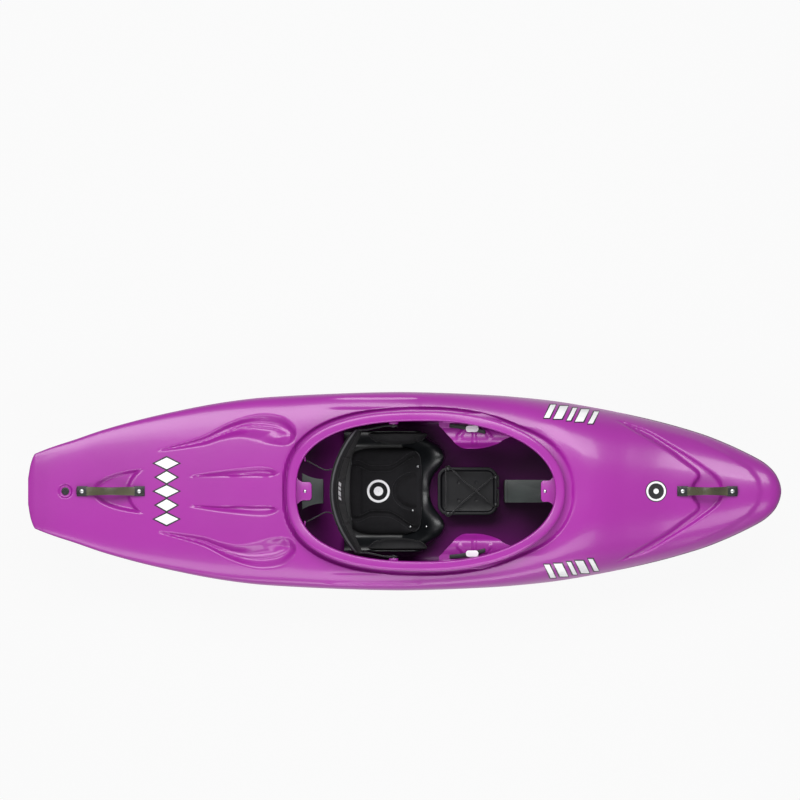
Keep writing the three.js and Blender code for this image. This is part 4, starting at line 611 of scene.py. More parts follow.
# %% Moat, and sections of the scoops and grooves
def moat(x, y):
    """A trough around the rim, which runs out into a slope in front of it."""
    depths = np.zeros_like(x)
    near = (x > rim_rear - 0.06) & (x < front_slope_end + 0.02)
    xs, ys = x[near], y[near]
    out = distance_to(xs, ys, rim_outline, np.roll(rim_outline, -1, axis=0))
    out = np.where(is_inside(xs, ys, rim_outline), -out, out)
    ahead = smooth_step(rim_front - 0.16, rim_front, xs)
    reach = moat_reach + ahead * (front_slope_end - rim_front - moat_reach)
    step = moat_reach + ahead * (0.036 - moat_reach)
    slope = 1 - smooth_step(0.25 * reach, reach, out)
    near_rim = (0.55 + 0.25 * ahead) * (1 - smooth_step(0.6 * step, step, out))
    depths[near] = moat_depth * (near_rim + 0.45 * slope)
    return depths


def scoop_section(t):
    """A steep outer wall, a ridge at its foot, and a floor that rises softly to the inner edge."""
    floor = smooth_step(0, 0.36, t) * (1 - smooth_step(0.5, 1, t))
    return scoop_depth * (floor - 0.17 * np.exp(-((t - 0.44) / 0.055) ** 2))


def groove_section(t):
    """A long slope from the curved outer edge, and a steep wall at the straight inner one."""
    return groove_depth * smooth_step(0, 0.72, t) * (1 - smooth_step(0.78, 1, t))


# %% Everything pressed into the deck
def bow_fold(x, y):
    """The bow's edge lies a little lower than its middle, outside a soft crease."""
    depths = np.zeros_like(x)
    near = x > crease_x[0]
    xs, ys = x[near], y[near]
    away = smooth_step(0, 0.020, distance_to(xs, ys, crease[:-1], crease[1:]))
    outside = (ys > np.interp(xs, crease_x, crease_y)) | (xs > crease_x[-1])
    depths[near] = np.where(outside, away, 0) * smooth_step(0.68, 0.86, xs) * crease_depth
    return depths


def side_band(x, y):
    """A shallow step in the deck beside the cockpit, wide at its front end."""
    inner, outer = 0.273, 0.317
    along = smooth_step(-0.290, -0.200, x) * (1 - smooth_step(0.046, 0.052, x))
    across = smooth_step(inner, inner + 0.012, y) * (1 - smooth_step(outer - 0.008, outer, y))
    return side_band_depth * along * across


def pressed(x, y):
    """How deep the deck is pressed in at each place."""
    x, y = np.asarray(x, dtype=float), np.abs(np.asarray(y, dtype=float))
    scoop = curved_hollow(x, y, scoop_outline, 9 * curve_parts, scoop_section, 0.060)
    groove = curved_hollow(x, y, groove_outline, 5 * curve_parts, groove_section, 0.024)
    v_groove = hollow(x, y, bow_groove_outline, bow_groove_depth, 0.013)
    fan = hollow(x, y, stern_fan, fan_depth, 0.014)
    past_drain = np.hypot(x - drain_x, y) - drain_recess_radius
    drain = drain_recess_depth * (1 - smooth_step(-0.003, 0.001, past_drain))
    depths = np.maximum.reduce([scoop, groove, v_groove, fan, drain])
    return np.maximum(depths, moat(x, y)) + bow_fold(x, y) + side_band(x, y)


print(f"a scoop is {pressed([-0.51], [0.215])[0] * 1000:.0f} mm deep behind the rim")


# %% [markdown]
# ## Skin of the hull
#
# The skin is a grid that is laid over half of the boat: its rows are sections from stern to bow, and its
# columns run from the keel over the chine and the gunwale to the middle of the deck. In the cockpit the
# columns end at the opening instead, so the opening's edge is as smooth as the oval. The other half is a
# mirror image. This keeps every line of the hull sharp where it should be, which a carved block would not.
# The grid is cut at the gunwale into two pieces, because the deck's small shapes need many more faces than
# the bottom does, and a piece that stays under 200,000 triangles is exported whole.

# %% One section of the skin
bottom_columns, bilge_columns, side_columns = 5, 3, 22
columns_below_side = bottom_columns + 5
bilge_round, chine_round, band_proud, chine_step = 0.012, 0.004, 0.0016, 0.0018


def rounded_corner(before, corner, after, radius):
    """Three points that round off a corner between two others."""
    before, corner, after = (np.array(point, dtype=float) for point in (before, corner, after))

    def short_of(end):
        run = end - corner
        length = max(1e-9, np.hypot(*run))
        return corner + run * min(radius, 0.4 * length) / length

    first, last = short_of(before), short_of(after)
    return [first, (first + 2 * corner + last) / 4, last]


def half_section(x, inset, deck_columns, edge_y):
    """Points (y, z) from the keel to the deck's middle, or to the opening's edge."""
    at = station_at(x)
    half, keel, deck = at["half"] - inset, at["keel"] + inset, at["deck"] - inset
    chine_up, chine_out, edge_up, edge_out = at["chine"]
    band = min(gunwale_band, (deck - keel) / 4) / 2
    low = at["gunwale"] - band - keel
    start = (half * edge_out * flat_bottom_share, keel)
    bilge = (half * edge_out, keel + low * edge_up)
    chine = (half * chine_out, keel + low * chine_up)
    middle = (half * (chine_out + 1) / 2 + (1 - chine_out) * half / 8, keel + low * (chine_up + 1) / 2)
    top = (half, keel + low)
    points = [np.array((start[0] * i / bottom_columns, keel)) for i in range(bottom_columns)]
    points += rounded_corner((0, keel), start, bilge, bilge_round)
    points += rounded_corner(start, bilge, chine, bilge_round)
    flank = rounded_corner(bilge, chine, middle, chine_round)
    step = chine_step * min(1, half / 0.1)
    flank[1] = flank[2] - (step, step * 0.3)
    for i in range(1, bilge_columns):
        points.append(points[-1] + (flank[0] - points[-1]) * i / (bilge_columns + 1 - i))
    points += flank
    for i in range(1, side_columns + 1):
        share = i / side_columns
        weights = (1 - share) * (1 - 2 * share), 4 * share * (1 - share), share * (2 * share - 1)
        points.append(sum(weight * np.array(end) for weight, end in zip(weights, (flank[2], middle, top))))
    proud = band_proud * min(1, band / (gunwale_band / 2))
    points.append(np.array((half + proud, keel + low + band * 0.15)))
    points.append(np.array((half + proud, keel + low + band * 1.85)))
    arch = deck_line(half, keel + low + 2 * band, deck, at["fullness"], deck_columns, edge_y)
    return np.array(points), arch


def deck_line(half, low, deck, fullness, columns, edge_y):
    """The deck's arch from the gunwale inwards, with its points evenly apart along it."""
    inwards = np.linspace(0, 1, 240) ** 3
    across = half + (edge_y - half) * inwards
    height = low + (deck - low) * np.clip(1 - (across / half) ** fullness, 0, 1) ** (1 / fullness)
    steps = np.hypot(np.diff(across), np.diff(height))
    run = np.concatenate([[0], np.cumsum(steps)])
    even = np.linspace(0, run[-1], columns + 1)
    return np.stack([np.interp(even, run, across), np.interp(even, run, height)], axis=1)


# %% [markdown]
# Rows stand close together where the deck has small shapes, and wide apart elsewhere. Along the opening they
# crowd at both ends like points on a circle, so that the oval closes smoothly.

# %% Rows of sections
def spaced_rows(parts):
    """Places along the boat from a list of ends and counts."""
    rows = [parts[0][0]]
    for end, count in parts[1:]:
        rows += list(np.linspace(rows[-1], end, count + 1)[1:])
    return rows


def along_opening(start, end, count):
    turn = np.linspace(0, math.pi, count + 1)[1:]
    return list(start + (end - start) * (1 - np.cos(turn)) / 2)


def rows_with_opening(behind, inset, count, ahead):
    start = rim_middle - (rim_length / 2 - inset)
    end = rim_middle + (rim_length / 2 - inset)
    rows = spaced_rows(behind + [(start, max(6, count // 9))])
    rows += along_opening(start, end, count)
    return np.array(rows + spaced_rows([(end, 0)] + ahead)[1:])


skin_rows = rows_with_opening(
    [(-1.265, 0), (-1.234, 14), (-1.170, 8), (-1.110, 20), (-0.840, 56), (-0.430, 112)], skin_inset, 92,
    [(0.560, 10), (0.660, 14), (1.100, 90), (1.225, 18), (1.265, 16)])
print(len(skin_rows), "rows of the skin")


# %% [markdown]
# The deck's small shapes are sampled with a little blur, because rows that cut a steep wall at a slant would
# leave steps on it. The recess of the side bolts is pressed sideways instead of downwards.

# %% Recess of the side bolts and depth of the skin
side_bolts = {"rear": (0.480, 0.133), "front": (0.534, 0.138)}


def press_sides(places, inset):
    """A flat floor for the side bolts: a long recess in the side, with round ends."""
    length, height, floor, wall = 0.096, 0.036, 0.2906 - inset * 1.3, 0.005
    rear, front = np.array(side_bolts["rear"]), np.array(side_bolts["front"])
    middle_x, middle_z = (rear + front) / 2
    run, rise = front - rear
    x, z = places[..., 0] - middle_x, places[..., 2] - middle_z
    tilt = math.atan2(rise, run)
    along = x * math.cos(tilt) + z * math.sin(tilt)
    up = z * math.cos(tilt) - x * math.sin(tilt)
    out = np.hypot(np.maximum(np.abs(along) - (length - height) / 2, 0), up)
    share = 1 - smooth_step(height / 2 - wall, height / 2 + 0.003, out - inset * 3)
    places[..., 1] += share * (np.minimum(places[..., 1], floor) - places[..., 1])


def skin_depth(x, y):
    """How deep the skin is pressed in: a mean over a few millimetres, so that its edges show no steps."""
    depth = 0
    for shift_x, share_x in ((-0.0026, 0.25), (0, 0.5), (0.0026, 0.25)):
        for shift_y, share_y in ((-0.002, 0.25), (0, 0.5), (0.002, 0.25)):
            depth = depth + share_x * share_y * pressed(x + shift_x, y + shift_y)
    return depth


def liner_depth(x, y, reach):
    """The deepest press within a small reach, so that the coarser inner wall stays under the skin."""
    shifts = ((0, 0), (reach, 0), (-reach, 0), (0, reach), (0, -reach))
    return np.max([pressed(x + shift_x, y + shift_y) for shift_x, shift_y in shifts], axis=0)


# %% Lay half of the hull and mirror it
def lay_hull(rows, deck_columns, inset, opening_at):
    """Half of the hull as rows of places, drawn in by an inset and open inside the cockpit's oval."""
    edges = oval_half_width(rows, opening_at)
    outside = np.abs(rows - rim_middle) >= rim_length / 2 - opening_at - 1e-6
    edges = np.where(outside, 0, edges)
    sections = []
    for x, edge_y in zip(rows, edges):
        lower, deck = half_section(x, inset, deck_columns, edge_y)
        places = np.column_stack([np.full(len(lower) + len(deck), x), np.concatenate([lower, deck])])
        press_sides(places[columns_below_side:len(lower)], inset)
        sections.append(places)
    sections = np.array(sections)
    decks = sections[:, -(deck_columns + 1):]
    flat_x, flat_y = decks[..., 0].ravel(), decks[..., 1].ravel()
    depths = liner_depth(flat_x, flat_y, inset * 3) if inset else skin_depth(flat_x, flat_y)
    decks[..., 2] -= depths.reshape(decks.shape[:2])
    return sections


def hull_mesh(sections):
    """Half of the hull as a grid, and its mirror image welded to it."""
    rows, columns = sections.shape[0] - 1, sections.shape[1] - 1

    def place(across, along):
        return sections[np.round(along * rows).astype(int), np.round(across * columns).astype(int)]

    bm = mapped(columns, rows, place)
    bmesh.ops.mirror(bm, geom=bm.verts[:] + bm.edges[:] + bm.faces[:], matrix=Matrix.Identity(4),
                     merge_dist=0.00001, axis="Y")
    bmesh.ops.remove_doubles(bm, verts=bm.verts, dist=0.00001)
    return bm


def end_point(section):
    """A section shrunk to its middle, which closes an end of the skin."""
    return np.broadcast_to((section[0] + section[-1]) / 2 * (1, 0, 1), section.shape)


# %% Skin in two pieces
def shell_piece(name, bm, sharp, finish=purple):
    """A part of the moulded shell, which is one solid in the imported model."""
    return piece(name, bm, finish, "hull", "hull", "hull_shell", sharp=sharp)


deck_columns = 104
skin = lay_hull(skin_rows, deck_columns, 0, skin_inset)
skin = np.concatenate([[end_point(skin[0])], skin, [end_point(skin[-1])]])
gunwale_column = skin.shape[1] - deck_columns - 1
hull_skin = shell_piece("hull_skin", hull_mesh(skin[:, :gunwale_column + 1]), 32)
deck_skin = shell_piece("deck_skin", hull_mesh(skin[:, gunwale_column:]), 32)
print(len(hull_skin.data.polygons), "faces below the gunwale,", len(deck_skin.data.polygons), "above it")

# %% [markdown]
# The inner wall follows the skin at the wall's thickness. It is seen only through the cockpit, so it has
# fewer rows and ends before the bow and the stern. Solidify gives it a thickness of its own, so that it is
# closed around its edges.

# %% Inner wall
liner_rows = rows_with_opening([(-1.000, 0), (-0.430, 50)], opening_inset, 70, [(0.660, 14), (1.060, 34)])
liner_bm = hull_mesh(lay_hull(liner_rows, 30, hull_wall, opening_inset))
bmesh.ops.recalc_face_normals(liner_bm, faces=liner_bm.faces)
bmesh.ops.solidify(liner_bm, geom=liner_bm.faces[:], thickness=-0.0012)
# The inner wall gets the darker finish, whose colour is painted shade.
hull_liner = shell_piece("hull_liner", liner_bm, 60, shaded_inner_purple)
print(len(hull_liner.data.polygons), "faces of the inner wall")

# %% [markdown]
# ## Cockpit rim
#
# The rim stands on a neck and turns outwards, so that a spray deck's elastic can grip under it. Its profile
# is a short closed outline with a rounded crown and a rounded bead, and it is carried around the oval. A
# bevelled curve would keep the neck's height everywhere, but the deck falls away from the rim's top, so the
# neck's foot takes its height from the deck.

# %% Rim profile and ring
rim_turns = 220


def arc(center, radius, start, end, count):
    angles = np.radians(np.linspace(start, end, count))
    return [(center[0] + radius[0] * math.cos(a), center[1] + radius[1] * math.sin(a)) for a in angles]


def rim_profile():
    """Inset from the rim's edge and rise from its top. Where the last value is 1, it rises from the deck."""
    crown = arc((opening_inset - 0.006, -0.006), (0.006, 0.006), 0, 90, 6)
    shoulder = arc((0.012, -0.009), (0.012, 0.009), 90, 180, 8)
    bead = arc((0.003, -rim_lip_depth + 0.003), (0.003, 0.003), 180, 270, 4)
    under = [(0.007, -rim_lip_depth), (0.010, -rim_lip_depth * 0.8), (rim_lip - 0.004, -rim_lip_depth * 0.72)]
    root = -(neck_root + moat_depth)
    ring = [(opening_inset, root, 1), (opening_inset, -0.012, 0)]
    ring += [(inset, rise, 0) for inset, rise in crown + shoulder + bead + under]
    ring += [(rim_lip, -rim_lip_depth * 0.85, 0), (rim_lip, root, 1)]
    return ring + [ring[0]]


profile = np.array(rim_profile())


def place_rim(across, along):
    spot = profile[np.round(across * (len(profile) - 1)).astype(int)]
    x, y = oval(along, spot[:, 0])
    neck_x, neck_y = oval(along, rim_lip)
    top = rim_top(oval(along, 0)[0])
    base = np.where(spot[:, 2] > 0, deck_height(neck_x, neck_y), top)
    return np.column_stack([x, y, base + spot[:, 1]])


cockpit_rim = shell_piece("cockpit_rim", mapped(len(profile) - 1, rim_turns, place_rim), 50)
print("rim:", len(cockpit_rim.data.polygons), "faces")

# %% [markdown]
# ## Ways to make the fittings
#
# The fittings are made in a few ways. A skin is drawn through rings of points, a section is carried along a
# path, a flat outline gets a thickness, or a profile is turned around an axis. A plain solid of the packed
# model can also be copied and get rounded edges, because no moulded part has a sharp one. Padded pieces are
# two skins that meet in a seam.

# %% Skins through rings
def loft(rings, caps=True, weave=None):
    """A skin through closed rings of points. weave is the size of its map around and along."""
    rings = np.asarray(rings)
    rings = np.concatenate([rings, rings[:, :1]], axis=1)
    rows, columns = rings.shape[0] - 1, rings.shape[1] - 1
    cells = {}

    def place(across, along):
        cells["across"], cells["along"] = across, along
        return rings[np.round(along * rows).astype(int), np.round(across * columns).astype(int)]

    bm = mapped(columns, rows, place)
    if weave:
        layer = bm.loops.layers.uv.new("weave")
        for face in bm.faces:
            for loop in face.loops:
                index = loop.vert.index
                loop[layer].uv = (cells["across"][index] * weave[0], cells["along"][index] * weave[1])
    bmesh.ops.remove_doubles(bm, verts=bm.verts, dist=0.000002)
    if caps:
        bmesh.ops.holes_fill(bm, edges=[edge for edge in bm.edges if edge.is_boundary], sides=0)
    return bm


def circle(radius, sides):
    return np.array(arc((0, 0), (radius, radius), 0, 360, sides + 1)[:-1])


def rounded_rectangle(half_x, half_y, corner, parts=6):
    points = []
    for turn, (side_x, side_y) in enumerate([(1, 1), (-1, 1), (-1, -1), (1, -1)]):
        middle = (side_x * (half_x - corner), side_y * (half_y - corner))
        points += arc(middle, (corner, corner), turn * 90, turn * 90 + 90, parts)
    return np.array(points)


def open_curve(points):
    """A smooth open line through points."""
    rows = [[i, *point] for i, point in enumerate(points)]
    return curve_through(rows)(np.linspace(0, len(points) - 1, curve_parts * (len(points) - 1) + 1))


def length_of(line):
    return np.linalg.norm(np.diff(line, axis=0), axis=1).sum()


def swept(points, section, up=(0, 0, 1), closed=False, weave=None):
    """A section that is carried along a path, with its second direction kept near up."""
    points, section = np.array(points, dtype=float), np.array(section, dtype=float)
    if closed:
        ahead = np.roll(points, -1, axis=0) - np.roll(points, 1, axis=0)
    else:
        ahead = np.gradient(points, axis=0)
    ahead /= np.linalg.norm(ahead, axis=1)[:, None]
    side = np.cross(ahead, up)
    side /= np.linalg.norm(side, axis=1)[:, None]
    above = np.cross(side, ahead)
    section = np.broadcast_to(section, (len(points), *section.shape[-2:]))
    rings = points[:, None] + side[:, None] * section[..., :1] + above[:, None] * section[..., 1:]
    if closed:
        rings = np.concatenate([rings, rings[:1]])
    return loft(rings, not closed, weave)


# %% Plates, turned parts and rounded copies
def round_edges(bm, width, segments=2, corner=40):
    bmesh.ops.recalc_face_normals(bm, faces=bm.faces)
    edges = [edge for edge in bm.edges if edge.calc_face_angle(0) > math.radians(corner)]
    bmesh.ops.bevel(bm, geom=edges, offset=width, offset_type="OFFSET", segments=segments, profile=0.5,
                    affect="EDGES", material=-1, clamp_overlap=True)
    return bm


def plate(outline, low, high, edge, axis="Z", segments=2):
    """A flat outline with a thickness along the axis, and rounded edges."""
    def put(a, b, level):
        return {"X": (level, a, b), "Y": (a, level, b), "Z": (a, b, level)}[axis]

    bm = bmesh.new()
    face = bm.faces.new([bm.verts.new(put(a, b, low)) for a, b in outline])
    grown = bmesh.ops.extrude_face_region(bm, geom=[face])
    lifted = [part for part in grown["geom"] if isinstance(part, bmesh.types.BMVert)]
    bmesh.ops.translate(bm, verts=lifted, vec=put(0, 0, high - low))
    return round_edges(bm, edge, segments)


def turned(profile, at, aim=(0, 0, 1), steps=30, socket=None):
    """A profile of radius and height that is turned around an axis.

    Its points at the socket's radius are moved onto a hexagon.
    """
    bm = bmesh.new()
    line = [bm.verts.new((radius, 0, height)) for radius, height in profile]
    edges = [bm.edges.new(pair) for pair in zip(line, line[1:])]
    bmesh.ops.spin(bm, geom=line + edges, cent=(0, 0, 0), axis=(0, 0, 1), angle=math.tau, steps=steps,
                   use_merge=True)
    bmesh.ops.remove_doubles(bm, verts=bm.verts, dist=0.000002)
    for vert in bm.verts:
        if socket and abs(math.hypot(vert.co.x, vert.co.y) - socket) < 0.00001:
            turn = math.atan2(vert.co.y, vert.co.x) % (math.pi / 3) - math.pi / 6
            vert.co.xy *= math.cos(math.pi / 6) / math.cos(turn)
    turn = Vector(aim).to_track_quat("Z", "Y").to_matrix().to_4x4()
    bmesh.ops.transform(bm, matrix=Matrix.Translation(at) @ turn, verts=bm.verts)
    return bm


def rounded_copy(node, width, segments=2, corner=28):
    """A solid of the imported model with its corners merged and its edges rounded."""
    bm = bmesh.new()
    bm.from_mesh(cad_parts[node].data)
    bmesh.ops.remove_doubles(bm, verts=bm.verts, dist=0.00002)
    bmesh.ops.dissolve_limit(bm, angle_limit=math.radians(1.5), verts=bm.verts, edges=bm.edges)
    return round_edges(bm, width, segments, corner)


# %% Joined and mirrored parts, and screws
def joined(parts):
    whole = bmesh.new()
    for part in parts:
        mesh = bpy.data.meshes.new("part")
        part.to_mesh(mesh)
        part.free()
        whole.from_mesh(mesh)
        bpy.data.meshes.remove(mesh)
    return whole


def on_side(bm, side):
    """A part of the left side, or the same part mirrored to the right."""
    if side < 0:
        bmesh.ops.scale(bm, vec=(1, -1, 1), verts=bm.verts)
    return bm


def pair(make):
    """The same part on both sides."""
    return [on_side(make(), side) for side, _ in sides]


def in_finish(bm, index):
    """A part with another of its piece's finishes."""
    for face in bm.faces:
        face.material_index = index
    return bm


def domed_screw(radius, height, shank, length, socket, at, aim=(0, 0, 1)):
    """A button-head screw with a hexagonal socket, seen from its head."""
    dome = arc((0, 0), (radius, height), 90 - 34, 0, 6)
    profile = [(0, height * 0.35), (socket, height * 0.35), (socket, height * 0.9)]
    profile += dome + [(radius, -0.0004), (shank, -0.0004), (shank, -length), (0, -length)]
    return turned(profile, at, aim, 30, socket)


# %% Sheets and padded parts
def thickened(bm, thickness, axis="z"):
    """An open sheet that grows a thickness away from its side towards the axis."""
    bmesh.ops.recalc_face_normals(bm, faces=bm.faces)
    if sum(getattr(face.normal, axis) for face in bm.faces) < 0:
        bmesh.ops.reverse_faces(bm, faces=bm.faces)
    bmesh.ops.solidify(bm, geom=bm.faces[:], thickness=-thickness)
    return bm


def pillow(columns, rows, surface):
    """Two skins with a common seam, near which their points crowd. surface takes shares of -1 to 1."""
    def skin(side):
        def place(across, along):
            return surface(side, -np.cos(across * math.pi), -np.cos(along * math.pi))
        return mapped(columns, rows, place)
    return joined([skin(1), skin(-1)])


def edge_round(u, v, reach=0.16):
    """How far a pillow has risen from its seam: 0 on it, and 1 a reach away from it."""
    near = (1 - np.maximum(np.abs(u), np.abs(v)).clip(0, 1)) / reach
    near_soft = np.minimum((1 - np.abs(u)) / reach, 1) * np.minimum((1 - np.abs(v)) / reach, 1)
    return np.sqrt(1 - (1 - np.clip(np.minimum(near, near_soft), 0, 1)) ** 2)


def evenly_around(corners, straight_parts):
    """A closed line through corners, with its long straight sides cut into parts."""
    line = []
    for start, end in zip(corners, np.roll(corners, -1, axis=0)):
        count = straight_parts if np.abs(end - start).sum() > 0.3 else 1
        line += [start + (end - start) * share for share in np.arange(count) / count]
    return np.array(line)


def stitches(points, length=0.0045, gap=0.003, radius=0.0005):
    """Short threads that lie along a line of points."""
    points = np.array(points)
    run = np.concatenate([[0], np.cumsum(np.linalg.norm(np.diff(points, axis=0), axis=1))])
    parts = []
    for start in np.arange(0, run[-1] - length, length + gap):
        at = start + np.array([0, 0.25, 0.5, 0.75, 1]) * length
        line = np.column_stack([np.interp(at, run, points[:, i]) for i in range(3)])
        line[[0, -1], 2] -= radius * 1.5
        parts.append(swept(line, circle(radius, 5)))
    return parts


# %% [markdown]
# ## Grab handles
#
# At each end an arched bar stands on two plates, and a screw with a broad head holds each end. A bar that
# stands off the deck leaves room for a gloved hand. Its ends are black like the plates under them. A cube
# could be bent by a modifier, but the bar also narrows towards the top of its arch, so a rounded rectangle
# that changes its size is carried along the arch.

# %% Handles, their plates and screws
def handle(end, rear_x, front_x, rise):
    overhang, foot_top, half_width, half_thickness = 0.018, 0.0093, 0.0146, 0.005
    x = np.linspace(rear_x - overhang, front_x + overhang, 49)
    share = (x - rear_x) / (front_x - rear_x)
    rear_z, front_z = deck_height([rear_x, front_x], [0, 0])
    hump = smooth_step(0.08, 0.5, share) * smooth_step(0.08, 0.5, 1 - share)
    z = rear_z + (front_z - rear_z) * share + hump * rise + foot_top
    sections = []
    for i, bend in enumerate(hump):
        tip = min(i, len(x) - 1 - i)
        trim = (0.0045, 0.0018, 0.0006)[tip] if tip < 3 else 0
        half = half_width - 0.0016 * bend - trim
        sections.append(rounded_rectangle(half, half_thickness - trim * 0.4, 0.0028))
    bar = swept(np.column_stack([x, 0 * x, z]), sections)
    for face in bar.faces:
        place = face.calc_center_median().x
        face.material_index = int(place < rear_x + 0.015 or place > front_x - 0.015)
    made = dressed(f"{end}_handle", bar, [grip_plastic, black_plastic], "hull", "grip")
    for which, screw_x, top in (("rear", rear_x, z[4]), ("front", front_x, z[-5])):
        foot, screw = f"{end}_handle_foot_{which}", f"{end}_handle_screw_{which}"
        dressed(foot, rounded_copy(foot, 0.0016, 3), black_plastic, "hull", "black_plastic")
        head = domed_screw(0.0075, 0.0036, 0.004, 0.026, 0.0026, (screw_x, 0, top + half_thickness + 0.0006))
        dressed(screw, head, steel, "hull", "steel")
    return made


stern_handle = handle("stern", *stern_handle_x, 0.023)
bow_handle = handle("bow", *bow_handle_x, 0.033)
print("handles:", len(stern_handle.data.polygons), "and", len(bow_handle.data.polygons), "faces")

# %% [markdown]
# ## Drain plug and side bolts
#
# The plug closes the hole that empties the boat: a ribbed head with a slot for a coin, on a rubber washer.
# A boolean would cut the slot as well, but it leaves long thin faces. Here two planes cut the turned head,
# and the faces between them are extruded downwards. On each side two bolts hold the rail that the foot rest
# slides on. Their heads sit on broad washers.

# %% Drain plug on its washer
washer_height, plug_height = 0.3037, 0.3059
washer_profile = [(0.0075, 0), (0.0128, 0), (0.013, 0.0005), (0.0128, 0.0019), (0.0075, 0.0019), (0.0075, 0)]
dressed("drain_washer", turned(washer_profile, (drain_x, 0, washer_height)), rubber, "hull", "rubber")

rib_radius, rib_steps, slot_half, slot_depth, plug_turn = 0.0105, 48, 0.0015, 0.0028, 0.5
plug_profile = [(0, -0.0138), (0.0062, -0.0138), (0.007, -0.013), (0.007, 0), (0.0125, 0), (0.013, 0.0006),
                (0.0127, 0.0022), (rib_radius, 0.0026), (rib_radius, 0.0052), (0.0098, 0.006), (0, 0.006)]
plug_bm = turned(plug_profile, (0, 0, 0), steps=rib_steps)
for vert in plug_bm.verts:
    if abs(vert.co.xy.length - rib_radius) < 0.00001:
        turn = math.atan2(vert.co.y, vert.co.x) / math.tau * rib_steps
        vert.co.xy *= 1 if round(turn) % 2 else 0.94
for offset in (-slot_half, slot_half):
    bmesh.ops.bisect_plane(plug_bm, geom=plug_bm.verts[:] + plug_bm.edges[:] + plug_bm.faces[:],
                           plane_co=(offset, 0, 0), plane_no=(1, 0, 0))
slot_faces = [face for face in plug_bm.faces if face.calc_center_median().z > 0.0059
              and abs(face.calc_center_median().x) < slot_half]
grown = bmesh.ops.extrude_face_region(plug_bm, geom=slot_faces)["geom"]
bmesh.ops.delete(plug_bm, geom=slot_faces, context="FACES_ONLY")
bmesh.ops.translate(plug_bm, verts=[part for part in grown if isinstance(part, bmesh.types.BMVert)],
                    vec=(0, 0, -slot_depth))
bmesh.ops.rotate(plug_bm, cent=(0, 0, 0), matrix=Matrix.Rotation(plug_turn, 3, "Z"), verts=plug_bm.verts)
bmesh.ops.translate(plug_bm, verts=plug_bm.verts, vec=(drain_x, 0, plug_height))
dressed("drain_plug", plug_bm, black_plastic, "plug", "black_plastic")

# %% Side bolts
bolt_floor_y, nut_y, washer_top = 0.2912, 0.2690, 0.0015
bolt_washer = [(0.0044, 0), (0.0122, 0), (0.0125, 0.0004), (0.0121, 0.0013), (0.0044, washer_top),
               (0.0044, 0)]
nut = [(0.0042, 0), (0.0078, 0), (0.009, 0.0008), (0.009, 0.0052), (0.0078, 0.006), (0.0042, 0.006),
       (0.0042, 0)]
for side, name in sides:
    for which, (bolt_x, bolt_z) in side_bolts.items():
        out = (0, side, 0)
        floor_y = bolt_floor_y * side
        head_place = (bolt_x, floor_y + washer_top * side, bolt_z)
        bolt = joined([
            turned(bolt_washer, (bolt_x, floor_y, bolt_z), out),
            domed_screw(0.008, 0.003, 0.004, 0.0222, 0.0028, head_place, out),
            turned(nut, (bolt_x, nut_y * side, bolt_z), out, 6),
        ])
        dressed(f"side_bolt_{name}_{which}", bolt, steel, "hull", "steel", 35)
print("plug and side bolts are in place")

# %% [markdown]
# ## Tongues and lugs inside the shell
#
# A welded tongue holds the top of each foam pillar, and small lugs carry the ends of the back band's straps
# and cords. Under each side deck a ledge carries a thigh brace. All are of the shell's own plastic. Scaled
# cubes would have square corners, so each is an outline that gets a thickness and rounded edges. A part that
# sits on both sides is made once more and mirrored.

# %% Tongues, lugs and ledges
brace_rear, brace_front, brace_low, brace_slope = 0.118, 0.366, 0.290, 0.2


def ledge():
    """The shelf under a thigh brace, which rises forwards as the brace does."""
    x = np.linspace(0.128, 0.356, 12)
    low = brace_low + (x - brace_rear) * brace_slope + 0.0005
    high = np.minimum(low + 0.034, deck_height(x, 0 * x + 0.258) - 0.006)
    outline = np.concatenate([np.column_stack([x, low]), np.column_stack([x, high])[::-1]])
    return plate(outline, 0.229, 0.262, 0.003, "Y", 3)


def tongue(tip, root, half, flare):
    """A tongue's outline, which widens in a curve to its root."""
    share = np.linspace(0, 1, 14)
    x = tip + (root - tip) * share
    half_widths = half - 0.010 * (1 - np.minimum(share / 0.14, 1)) ** 2
    half_widths += flare * smooth_step(0.35, 1, share) ** 2
    upper = np.column_stack([x, half_widths])
    return np.concatenate([upper, (upper * (1, -1))[::-1]])


def web(half_width, low, high, corner):
    """An upright plate's outline from one height to another."""
    return rounded_rectangle(half_width, (high - low) / 2, corner) + (0, (high + low) / 2)


def strap_lug():
    return plate(web(0.016, 0.230, lug_top, 0.010) + (-0.036, 0), 0.2262, 0.2348, 0.002, "Y")


def cord_lug():
    return plate(web(0.008, 0.252, 0.276, 0.005) + (0.108, 0), -0.337, -0.3324, 0.001, "X")


front_web_top = deck_height([0.508], [0])[0] - 0.012
rear_web_top = deck_height([-0.366], [0])[0] - 0.008
lug_top = deck_height([-0.036], [0.23])[0] - 0.004
front_web_outline = rounded_rectangle(0.040, 0.012, 0.004) + (0, (front_web_top + 0.354) / 2)
shell_parts = [
    plate(tongue(0.458, 0.512, 0.036, 0.026), 0.352, 0.359, 0.0022, segments=3),
    plate(front_web_outline, 0.505, 0.512, 0.002, "X"),
    plate(tongue(-0.312, -0.370, 0.031, 0.018), 0.262, 0.269, 0.0022, segments=3),
    plate(web(0.029, 0.262, rear_web_top, 0.003), -0.370, -0.363, 0.001, "X"),
    *pair(strap_lug), *pair(cord_lug), *pair(ledge),
]
print(len(shell_parts), "tongues, lugs and ledges")
shell_piece("shell_lugs", joined(shell_parts), 50)

# %% [markdown]
# ## Pillars
#
# A block of closed-cell foam stands in front of the feet and another behind the seat. They keep the deck from
# being pushed down on the paddler. Each has a moulded cap that is bolted to a tongue of the shell. The plain
# solids already have the right shape, so copies of them with rounded edges are enough.

